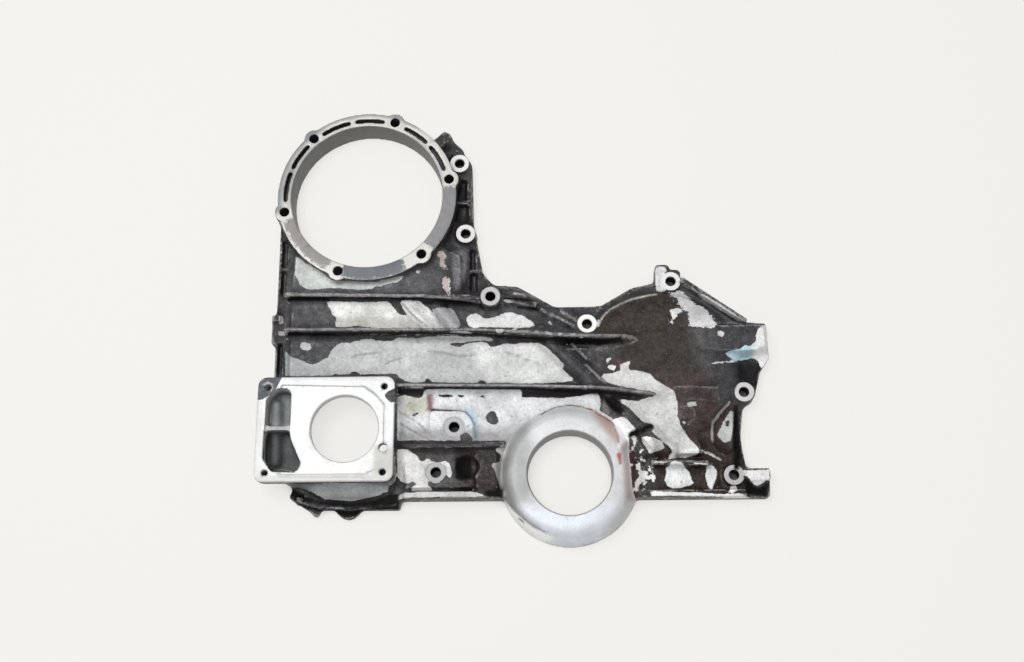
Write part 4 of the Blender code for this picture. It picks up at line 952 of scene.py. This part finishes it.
def arc_distance(millimetres, centre, first, last, inner, outer):
    """How far inside a part of a ring each point lies, in millimetres."""
    radius = radius_from(millimetres, centre)
    degrees = np.degrees(np.arctan2(millimetres[:, 1] - centre[1], millimetres[:, 0] - centre[0]))
    off = np.abs((degrees - (first + last) / 2 + 180) % 360 - 180)
    along = np.radians((last - first) / 2 - off) * radius
    return np.minimum(along, np.minimum(radius - inner, outer - radius))


def on_front(places, normals, tree):
    """1 where nothing of the cover lies above the point, 0 inside the gear chamber and behind."""
    up = Vector((0, 0, 1))
    shown = np.ones(len(places))
    for i, (place, normal) in enumerate(zip(places, normals)):
        sideways = Vector((normal[0], normal[1], max(normal[2], 0.0)))
        if sideways.length < 0.3:
            shown[i] = 0.0
            continue
        start = Vector(place) + sideways.normalized() * 0.6 * MM
        if tree.ray_cast(start, up, 0.06)[0] is not None:
            shown[i] = 0.0
    return shown


def set_values(mesh, name, values):
    layer = mesh.attributes.new(name, "FLOAT", "POINT")
    layer.data.foreach_set("value", values.astype(np.float32))


def set_colours(mesh, name, colours):
    layer = mesh.attributes.new(name, "FLOAT_COLOR", "POINT")
    full = np.ones((len(colours), 4), dtype=np.float32)
    full[:, :3] = colours
    layer.data.foreach_set("color", full.ravel())


mesh = casting.data
places = vertex_places(mesh)
normals = np.empty(len(places) * 3, dtype=np.float32)
mesh.vertices.foreach_get("normal", normals)
normals = normals.reshape(-1, 3)
pixels = photo_pixels(places)
millimetres = from_crank(places)
height = millimetres[:, 2]
ring_radius = radius_from(millimetres, RING_CENTRE)
seal_radius = radius_from(millimetres, SEAL_CENTRE)
pad_bore_radius = radius_from(millimetres, PAD_BORE_CENTRE)

tree = BVHTree.FromPolygons([tuple(p) for p in places], [tuple(p.vertices) for p in mesh.polygons])
front = on_front(places, normals, tree)

nearest_grid = KDTree(len(grid_places) // 3 + 1)
for i in range(0, len(grid_places), 3):
    nearest_grid.insert(grid_places[i], i)
nearest_grid.balance()
hollow = np.array([grid_hollow[nearest_grid.find(place)[1]] for place in places]) / MM

machined = np.full(len(places), -FAR_MM)
on_ring = np.where(ring_radius < 96, (height - RING_FACE + 0.55) * 4, -FAR_MM)
machined = np.maximum(machined, on_ring)
machined = np.maximum(machined, np.where(height > 0.5, (RING_BORE + 0.9 - ring_radius) * 4, -FAR_MM))
machined = np.maximum(machined, np.where(pad_bore_radius < 90, (height - PAD_FACE + PAD_RECESS + 0.5) * 4, -FAR_MM))
machined = np.maximum(machined, (PAD_BORE + 0.9 - pad_bore_radius) * 4)
machined = np.maximum(machined, (SEAL_BORE + 1.6 - seal_radius) * 4)
seal_front = np.where((height > 2) & (front > 0.5), SEAL_RADIUS - 1.0 - seal_radius, -FAR_MM)
seal_front = np.minimum(seal_front, -outline_distance(pixels, SEAL_PAINT))
machined = np.maximum(machined, seal_front)
pad_paint = np.where(height > PAD_FACE - 4, any_outline(pixels, PAD_PAINT), -FAR_MM)
machined = np.where(height > PAD_FACE - 4, np.minimum(machined, -pad_paint), machined)
step = outline_distance(millimetres[:, :2], rounded(PAD_STEP_CORNERS))
spot = np.full(len(places), -FAR_MM)
for centre, face in zip(SCREWS, SCREW_FACES):
    near_face = np.where(np.abs(height - face) < 1.0, (SPOT_FACE + 0.2 - radius_from(millimetres, centre)) * 2, -FAR_MM)
    spot = np.maximum(spot, near_face)
machined = np.maximum(machined, spot)
hollow = hollow * (1 - smooth_step(machined, -1, 0.5))
# The screw holes' walls, which are painted near black as shade.
holes = np.full(len(places), -FAR_MM)
for centre, face in zip(SCREWS, SCREW_FACES):
    holes = np.maximum(holes, np.where(height < face - 0.7, (SCREW_HOLE + 0.5 - radius_from(millimetres, centre)) * 4,
                                       -FAR_MM))

paint_colours = lay_tints(pixels, PAINT_COLOUR, PAINT_TINTS)
# Painted highlights and painted shade lines, laid over the paint's colour.
for code, half_width, line in LIGHT_AND_SHADE_LINES:
    share = smooth_step(half_width - line_distance(pixels, line), -0.6, 0.5)
    paint_colours = lay_tint(paint_colours, 0.85 * share, code)
metal_colours = lay_tints(pixels, METAL_COLOUR, METAL_TINTS)
ring_share = smooth_step(np.where(ring_radius < 96, height - 24, -9), 0, 2)
metal_colours = lay_tint(metal_colours, ring_share, "d6d4d1")
# Painted reflection: grey arcs on the ring's face.
ring_reflection = np.full(len(places), -FAR_MM)
ring_reflection_colours = np.tile(linear_colour("8c8d90"), (len(places), 1))
for name, code, first, last, inner, outer, softness in RING_SHADES:
    distance = arc_distance(millimetres, RING_CENTRE, first, last, inner, outer)
    metal_colours = lay_tint(metal_colours, smooth_step(distance, -softness, softness) * (height > 20), code)
for name, code, first, last, inner, outer in RING_REFLECTION_ARCS:
    distance = arc_distance(millimetres, RING_CENTRE, first, last, inner, outer)
    ring_reflection_colours = lay_tint(ring_reflection_colours, smooth_step(distance, -3, 0), code)
    ring_reflection = np.maximum(ring_reflection, np.where(height > RING_FACE - 0.6, distance, -FAR_MM))
# Painted shade on the walls of the ring's bore and the seal's bore.
bore_wall_shade = smooth_step(RING_BORE + 1.0 - ring_radius, 0, 0.4) * smooth_step(RING_FACE - 0.2 - height, 0, 0.5)
metal_colours = lay_tint(metal_colours, bore_wall_shade, "71726f")
bore_wall_shade = smooth_step(SEAL_BORE + 0.5 - seal_radius, 0, 0.4) * smooth_step(SEAL_FACE - 0.4 - height, 0, 0.7)
metal_colours = lay_tint(metal_colours, bore_wall_shade, "8c8c8c")
pad_share = smooth_step(np.where(pad_bore_radius < 90, height - PAD_FACE + 2.2, -9), 0, 1.0)
metal_colours = lay_tint(metal_colours, pad_share, "dee0e1")
on_pad = height > PAD_FACE - 1.5
# Painted shade: a thin grey line along the step of the pad's recess.
metal_colours = lay_tint(metal_colours, 0.75 * on_pad * smooth_step(0.45 - np.abs(step + 0.2), -0.4, 0.3), "7c7e80")
for name, code, outline in PAD_STAINS:
    share = smooth_step(outline_distance(pixels, outline), -3, 3) * on_pad
    metal_colours = lay_tint(metal_colours, share, code)
for name, code, first, last, inner, outer, softness in SEAL_SHADES:
    distance = arc_distance(millimetres, SEAL_CENTRE, first, last, inner, outer)
    metal_colours = lay_tint(metal_colours, smooth_step(distance, -softness, softness), code)
for name, code, softness, outline in SEAL_STAINS:
    share = smooth_step(outline_distance(pixels, outline), -softness, softness)
    metal_colours = lay_tint(metal_colours, share, code)
# Stain lines, with some painted highlight and painted shade lines, laid on the metal.
for code, half_width, line in STAIN_LIGHT_AND_SHADE_LINES:
    share = smooth_step(half_width - line_distance(pixels, line), -0.6, 0.5)
    metal_colours = lay_tint(metal_colours, 0.85 * share, code)
for centre, code in zip(SCREWS, SPOT_COLOURS):
    share = smooth_step(SPOT_FACE + 0.3 - radius_from(millimetres, centre), -0.5, 0.3)
    metal_colours = lay_tint(metal_colours, share, code)
# Painted shade in the kidney pocket, and the web's tint.
for name, code, outline, top in PAD_TINTS_AND_SHADE:
    share = smooth_step(outline_distance(pixels, outline), -1, 1) * smooth_step(top - height, 0, 6)
    metal_colours = lay_tint(metal_colours, share, code)
kidney = smooth_step(outline_distance(pixels, PAD_TINTS_AND_SHADE[0][2]), -1, 1) * (height < PAD_FACE - 2)
rear = 1 - front
metal_colours = lay_tint(metal_colours, rear, REAR_COLOUR)

bare = bare_distance(places)
bare = np.maximum(bare, (kidney * 2 - 1) * FAR_MM * 0.5)
bare = np.where(front < 0.5, FAR_MM, bare)
set_values(mesh, "bare", bare)
set_values(mesh, "machined", np.clip(np.where(front < 0.5, np.where(height < 0.3, 2.0, -2.0), machined), -3, 3))
set_values(mesh, "dark", smooth_step(any_outline(pixels, DARK_PLACES), -1.2, 1.2) * front)
set_values(mesh, "chips", smooth_step(any_outline(pixels, SPECKLED_PLACES), -3, 3))
set_values(mesh, "hole_wall_shade", smooth_step(holes, -1, 1))
# Convex edges, for worn paint and painted highlight.
set_values(mesh, "worn_and_lit_edge", np.clip(-hollow, 0, 2))
# Inner creases, for dirt and painted shade.
set_values(mesh, "crease_dirt_and_shade", np.clip(hollow, 0, 2))
set_values(mesh, "rear", rear)
set_colours(mesh, "paint_colour", np.maximum(paint_colours - PAINT_SHEEN, DARKEST))
set_colours(mesh, "metal_colour", metal_colours)
set_colours(mesh, "ring_reflection_colour", ring_reflection_colours)
set_values(mesh, "ring_reflection", np.clip(ring_reflection, -FAR_MM, FAR_MM))
set_values(mesh, "grainy", smooth_step(any_outline(pixels, GRAINY_PLACES), -5, 5))


# The finish: chipped paint over cast aluminium. The cast skin is dull and grainy, the machined
# faces are smoother and brighter, and the paint stands a hair's breadth above the metal.
def add_node(tree, kind, inputs=None, **settings):
    node = tree.nodes.new("ShaderNode" + kind)
    for name, value in settings.items():
        setattr(node, name, value)
    for socket, value in (inputs or {}).items():
        if isinstance(value, bpy.types.NodeSocket):
            tree.links.new(value, node.inputs[socket])
        else:
            node.inputs[socket].default_value = value
    return node


def calc(tree, operation, first, second=0.0):
    return add_node(tree, "Math", {0: first, 1: second}, operation=operation).outputs[0]


def blend(tree, share, under, over, blend_type="MIX"):
    node = add_node(tree, "Mix", {0: share, 6: under, 7: over}, data_type="RGBA", blend_type=blend_type)
    return node.outputs[2]


def blend_values(tree, share, under, over):
    return add_node(tree, "Mix", {0: share, 2: under, 3: over}, data_type="FLOAT").outputs[0]


def step_between(tree, value, low, high, start=0.0, finish=1.0):
    return add_node(tree, "MapRange", {"Value": value, "From Min": low, "From Max": high, "To Min": start,
                                       "To Max": finish}, interpolation_type="SMOOTHSTEP").outputs["Result"]


def noise(tree, scale, detail=4.0, roughness=0.55, distortion=0.0):
    """Grey noise about 0.5 over the object's own coordinates, at so many features a metre."""
    where = add_node(tree, "TexCoord").outputs["Object"]
    return add_node(tree, "TexNoise", {"Vector": where, "Scale": scale, "Detail": detail, "Roughness": roughness,
                                       "Distortion": distortion}).outputs["Fac"]


def new_group(name, inputs, outputs):
    tree = bpy.data.node_groups.new(name, "ShaderNodeTree")
    for socket, kind in inputs:
        tree.interface.new_socket(socket, in_out="INPUT", socket_type=kind)
    for socket, kind in outputs:
        tree.interface.new_socket(socket, in_out="OUTPUT", socket_type=kind)
    return tree, tree.nodes.new("NodeGroupInput").outputs, tree.nodes.new("NodeGroupOutput").inputs


NUMBER, COLOUR = "NodeSocketFloat", "NodeSocketColor"

flake_edge, given, result = new_group(
    "flake_edge", [("Distance", NUMBER), ("Coarse", NUMBER), ("Fine", NUMBER), ("Chips", NUMBER),
                   ("Softness", NUMBER)],
    [("Mask", NUMBER), ("Rim", NUMBER)])
coarse = calc(flake_edge, "MULTIPLY", calc(flake_edge, "SUBTRACT", noise(flake_edge, 170, 3), 0.5), given["Coarse"])
fine = calc(flake_edge, "MULTIPLY", calc(flake_edge, "SUBTRACT", noise(flake_edge, 620, 4, 0.65), 0.5), given["Fine"])
crumbs = calc(flake_edge, "MULTIPLY", calc(flake_edge, "SUBTRACT", noise(flake_edge, 330, 5, 0.7), 0.52),
              given["Chips"])
edge_place = calc(flake_edge, "ADD", calc(flake_edge, "ADD", given["Distance"], coarse),
                  calc(flake_edge, "ADD", fine, crumbs))
softly = calc(flake_edge, "DIVIDE", edge_place, given["Softness"])
flake_edge.links.new(step_between(flake_edge, softly, -1.0, 1.0), result["Mask"])
flake_edge.links.new(step_between(flake_edge, calc(flake_edge, "ABSOLUTE", edge_place), 0.7, 0.0), result["Rim"])

cast_grain, given, result = new_group("cast_grain", [("Size", NUMBER)], [("Height", NUMBER)])
sand = noise(cast_grain, 1400, 3, 0.6)
lumps = noise(cast_grain, 300, 4, 0.6)
cast_grain.links.new(calc(cast_grain, "MULTIPLY", calc(cast_grain, "ADD", sand, calc(cast_grain, "MULTIPLY", lumps, 2.0)),
                          given["Size"]), result["Height"])

blotches, given, result = new_group("blotches", [("Colour", COLOUR), ("Depth", NUMBER), ("Scale", NUMBER)],
                                    [("Colour", COLOUR)])
where = add_node(blotches, "TexCoord").outputs["Object"]
cloud = add_node(blotches, "TexNoise", {"Vector": where, "Scale": given["Scale"], "Detail": 6.0,
                                        "Roughness": 0.62}).outputs["Fac"]
swing = calc(blotches, "MULTIPLY", calc(blotches, "SUBTRACT", cloud, 0.5), given["Depth"])
tone = calc(blotches, "MAXIMUM", calc(blotches, "ADD", swing, 1.0), 0.05)
grey = add_node(blotches, "CombineColor", {0: tone, 1: tone, 2: tone}).outputs[0]
blotches.links.new(blend(blotches, 1.0, given["Colour"], grey, "MULTIPLY"), result["Colour"])

specks, given, result = new_group("specks", [("Scale", NUMBER), ("Threshold", NUMBER)], [("Mask", NUMBER)])
where = add_node(specks, "TexCoord").outputs["Object"]
cloud = add_node(specks, "TexNoise", {"Vector": where, "Scale": given["Scale"], "Detail": 3.0,
                                      "Roughness": 0.7}).outputs["Fac"]
over = calc(specks, "SUBTRACT", cloud, given["Threshold"])
specks.links.new(step_between(specks, over, 0.0, 0.05), result["Mask"])


def use_group(tree, group, inputs):
    node = tree.nodes.new("ShaderNodeGroup")
    node.node_tree = group
    for socket, value in inputs.items():
        if isinstance(value, bpy.types.NodeSocket):
            tree.links.new(value, node.inputs[socket])
        else:
            node.inputs[socket].default_value = value
    return node.outputs


def value_layer(tree, name):
    return add_node(tree, "Attribute", attribute_name=name, attribute_type="GEOMETRY").outputs["Fac"]


def colour_layer(tree, name):
    return add_node(tree, "Attribute", attribute_name=name, attribute_type="GEOMETRY").outputs["Color"]


finish = bpy.data.materials.new("chipped_paint_on_aluminium")
finish.use_nodes = True
nodes = finish.node_tree
shader = nodes.nodes["Principled BSDF"]

flakes = use_group(nodes, flake_edge, {"Distance": value_layer(nodes, "bare"), "Coarse": 2.0, "Fine": 2.0,
                                       "Chips": calc(nodes, "MULTIPLY", value_layer(nodes, "chips"), 8.0),
                                       "Softness": 0.22})
machined_share = step_between(nodes, value_layer(nodes, "machined"), -0.3, 0.3)
rough_share = calc(nodes, "SUBTRACT", 1.0, machined_share)
bare_share = calc(nodes, "MAXIMUM", flakes["Mask"], machined_share)
edge_noise = calc(nodes, "MULTIPLY", calc(nodes, "SUBTRACT", noise(nodes, 260, 5, 0.7), 0.5), 1.2)
# Convex edges: the paint is lighter there, as wear and as painted highlight.
wear_and_highlight = step_between(nodes, calc(nodes, "ADD", value_layer(nodes, "worn_and_lit_edge"), edge_noise), 0.34, 0.64)
pale_specks = use_group(nodes, specks, {"Scale": 330.0, "Threshold": 0.7})["Mask"]
metal_share = calc(nodes, "MAXIMUM", bare_share, calc(nodes, "MULTIPLY", pale_specks, 0.75))
facing = add_node(nodes, "NewGeometry").outputs["True Normal"]
facing_back = step_between(nodes, add_node(nodes, "SeparateXYZ", {0: facing}).outputs["Z"], -0.6, -0.8)
metal_share = calc(nodes, "MAXIMUM", metal_share, facing_back)

grain = use_group(nodes, cast_grain, {"Size": 1.0})
paint = use_group(nodes, blotches, {"Colour": colour_layer(nodes, "paint_colour"), "Depth": 3.0,
                                    "Scale": 110.0})["Colour"]
paint = use_group(nodes, blotches, {"Colour": paint, "Depth": 2.6, "Scale": 620.0})["Colour"]
brown_grain = use_group(nodes, specks, {"Scale": 520.0, "Threshold": 0.54})["Mask"]
brown_grain = calc(nodes, "MULTIPLY", brown_grain, value_layer(nodes, "grainy"))
paint = blend(nodes, calc(nodes, "MULTIPLY", brown_grain, 0.5), paint, (0.095, 0.068, 0.045, 1))
edge_light = calc(nodes, "MULTIPLY", wear_and_highlight, 0.85)
paint = blend(nodes, edge_light, paint, (0.33, 0.32, 0.325, 1))
metal = colour_layer(nodes, "metal_colour")
smooth_metal = use_group(nodes, blotches, {"Colour": metal, "Depth": 0.45, "Scale": 70.0})["Colour"]
smooth_metal = use_group(nodes, blotches, {"Colour": smooth_metal, "Depth": 0.5, "Scale": 1100.0})["Colour"]
rough_metal = use_group(nodes, blotches, {"Colour": metal, "Depth": 1.3, "Scale": 48.0})["Colour"]
rough_metal = use_group(nodes, blotches, {"Colour": rough_metal, "Depth": 0.9, "Scale": 420.0})["Colour"]
dirt = use_group(nodes, specks, {"Scale": 300.0, "Threshold": 0.63})["Mask"]
fine_dirt = use_group(nodes, specks, {"Scale": 800.0, "Threshold": 0.64})["Mask"]
rough_metal = blend(nodes, calc(nodes, "MULTIPLY", dirt, 0.55), rough_metal, (0.2, 0.185, 0.17, 1))
rough_metal = blend(nodes, calc(nodes, "MULTIPLY", fine_dirt, 0.5), rough_metal, (0.17, 0.155, 0.145, 1))
# Painted reflection: the grey arcs on the ring's face, with ragged edges.
ring_reflection_mask = use_group(nodes, flake_edge, {"Distance": value_layer(nodes, "ring_reflection"), "Coarse": 7.0, "Fine": 9.0,
                                            "Chips": 6.0, "Softness": 1.6})["Mask"]
ring_reflection_metal = use_group(nodes, blotches, {"Colour": colour_layer(nodes, "ring_reflection_colour"), "Depth": 0.5,
                                           "Scale": 200.0})["Colour"]
smooth_metal = blend(nodes, calc(nodes, "MULTIPLY", fine_dirt, 0.45), smooth_metal, (0.16, 0.15, 0.15, 1))
smooth_metal = blend(nodes, ring_reflection_mask, smooth_metal, ring_reflection_metal)
metal = blend(nodes, machined_share, rough_metal, smooth_metal)
rear_metal = use_group(nodes, blotches, {"Colour": (*linear_colour("9a9b9d"), 1), "Depth": 0.8, "Scale": 60.0})
metal = blend(nodes, facing_back, metal, rear_metal["Colour"])
skin = blend(nodes, metal_share, paint, metal)
rim_shade = calc(nodes, "MULTIPLY", flakes["Rim"], rough_share)
skin = blend(nodes, calc(nodes, "MULTIPLY", rim_shade, 0.4), skin, (0.07, 0.06, 0.058, 1))
# Inner creases darkened, as dirt and as painted shade.
crease_darkening = calc(nodes, "MULTIPLY", step_between(nodes, value_layer(nodes, "crease_dirt_and_shade"), 0.12, 0.9),
                   step_between(nodes, noise(nodes, 140, 4), 0.3, 0.65, 0.5, 1.0))
skin = blend(nodes, crease_darkening, skin, blend(nodes, 1.0, skin, (0.26, 0.245, 0.24, 1), "MULTIPLY"))
# Near black over the dark places, most of them painted shade.
skin = blend(nodes, value_layer(nodes, "dark"), skin, (0.007, 0.0065, 0.007, 1))
# Painted shade: near black on the screw holes' walls.
skin = blend(nodes, value_layer(nodes, "hole_wall_shade"), skin, (0.012, 0.012, 0.014, 1))
nodes.links.new(skin, shader.inputs["Base Color"])

metallic = blend_values(nodes, machined_share, 0.25, 0.3)
nodes.links.new(calc(nodes, "MULTIPLY", metallic, metal_share), shader.inputs["Metallic"])
metal_rough = blend_values(nodes, machined_share, 0.6, 0.5)
paint_rough = step_between(nodes, noise(nodes, 200, 4), 0.3, 0.7, 0.28, 0.55)
nodes.links.new(blend_values(nodes, metal_share, paint_rough, metal_rough), shader.inputs["Roughness"])

film = calc(nodes, "SUBTRACT", 1.0, bare_share)
texture = calc(nodes, "MULTIPLY", grain["Height"], blend_values(nodes, machined_share, 0.5, 0.04))
relief = calc(nodes, "ADD", film, texture)
bump = add_node(nodes, "Bump", {"Strength": 0.7, "Distance": 0.00035, "Height": relief})
nodes.links.new(bump.outputs["Normal"], shader.inputs["Normal"])
unlit = calc(nodes, "MAXIMUM", value_layer(nodes, "dark"), value_layer(nodes, "hole_wall_shade"))
nodes.links.new(blend_values(nodes, unlit, 0.28, 0.04), shader.inputs["Specular IOR Level"])

mesh.materials.clear()
mesh.materials.append(finish)
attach(casting, "root")
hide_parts("gear_cover")


# The stage: a pale floor that shows as a plain background and still takes the cover's shadow,
# under soft studio light from the upper left.
BACKGROUND = (*linear_colour("f6f4f0"), 1)
FLOOR_HALF = 3.0
WORLD_LEVEL = 0.48
LAMP_PLACE = (-0.45, 0.15, 1.55)
LAMP_SIZE = 0.7
LAMP_WATTS = 14.0
HOLE_REACH = 0.03

floor_mesh = bpy.data.meshes.new("floor")
floor_mesh.from_pydata([(-FLOOR_HALF, -FLOOR_HALF, 0), (FLOOR_HALF, -FLOOR_HALF, 0), (FLOOR_HALF, FLOOR_HALF, 0),
                        (-FLOOR_HALF, FLOOR_HALF, 0)], [], [(0, 1, 2, 3)])
floor = new_piece("floor", floor_mesh)
pale = bpy.data.materials.new("pale_floor")
pale.use_nodes = True
tree = pale.node_tree
tree.nodes.remove(tree.nodes["Principled BSDF"])
light_path = add_node(tree, "LightPath").outputs
seen = calc(tree, "MAXIMUM", light_path["Is Camera Ray"],
            calc(tree, "MAXIMUM", light_path["Is Glossy Ray"], light_path["Is Transmission Ray"]))
# Painted shade on the floor: its glow dims where the cover closes round it, in the holes and along the cover's foot.
sky_share = add_node(tree, "AmbientOcclusion", {"Distance": HOLE_REACH}, samples=8).outputs["AO"]
in_the_open = step_between(tree, sky_share, 0.12, 0.45, 0.02, 0.8)
glow = add_node(tree, "Emission", {"Color": BACKGROUND, "Strength": in_the_open})
shaded = add_node(tree, "BsdfDiffuse", {"Color": (0.2 * BACKGROUND[0], 0.2 * BACKGROUND[1], 0.2 * BACKGROUND[2], 1)})
shown = add_node(tree, "AddShader", {0: glow.outputs[0], 1: shaded.outputs[0]})
plain = add_node(tree, "BsdfDiffuse", {"Color": (0.8, 0.8, 0.79, 1)})
choice = add_node(tree, "MixShader", {0: seen, 1: plain.outputs[0], 2: shown.outputs[0]})
tree.links.new(choice.outputs[0], tree.nodes["Material Output"].inputs["Surface"])
floor.data.materials.append(pale)

world = bpy.data.worlds.new("soft_light")
world.use_nodes = True
tree = world.node_tree
light_path = add_node(tree, "LightPath").outputs
background = tree.nodes["Background"]
background.inputs["Color"].default_value = BACKGROUND
tree.links.new(blend_values(tree, light_path["Is Camera Ray"], WORLD_LEVEL, 1.0), background.inputs["Strength"])
bpy.context.scene.world = world

lamp_data = bpy.data.lights.new("key", "AREA")
lamp_data.size = LAMP_SIZE
lamp_data.energy = LAMP_WATTS
lamp = bpy.data.objects.new("key", lamp_data)
lamp.location = LAMP_PLACE
lamp.rotation_euler = (-Vector(LAMP_PLACE)).to_track_quat("-Z", "Y").to_euler()
bpy.context.scene.collection.objects.link(lamp)

bpy.context.scene.view_settings.view_transform = "Standard"
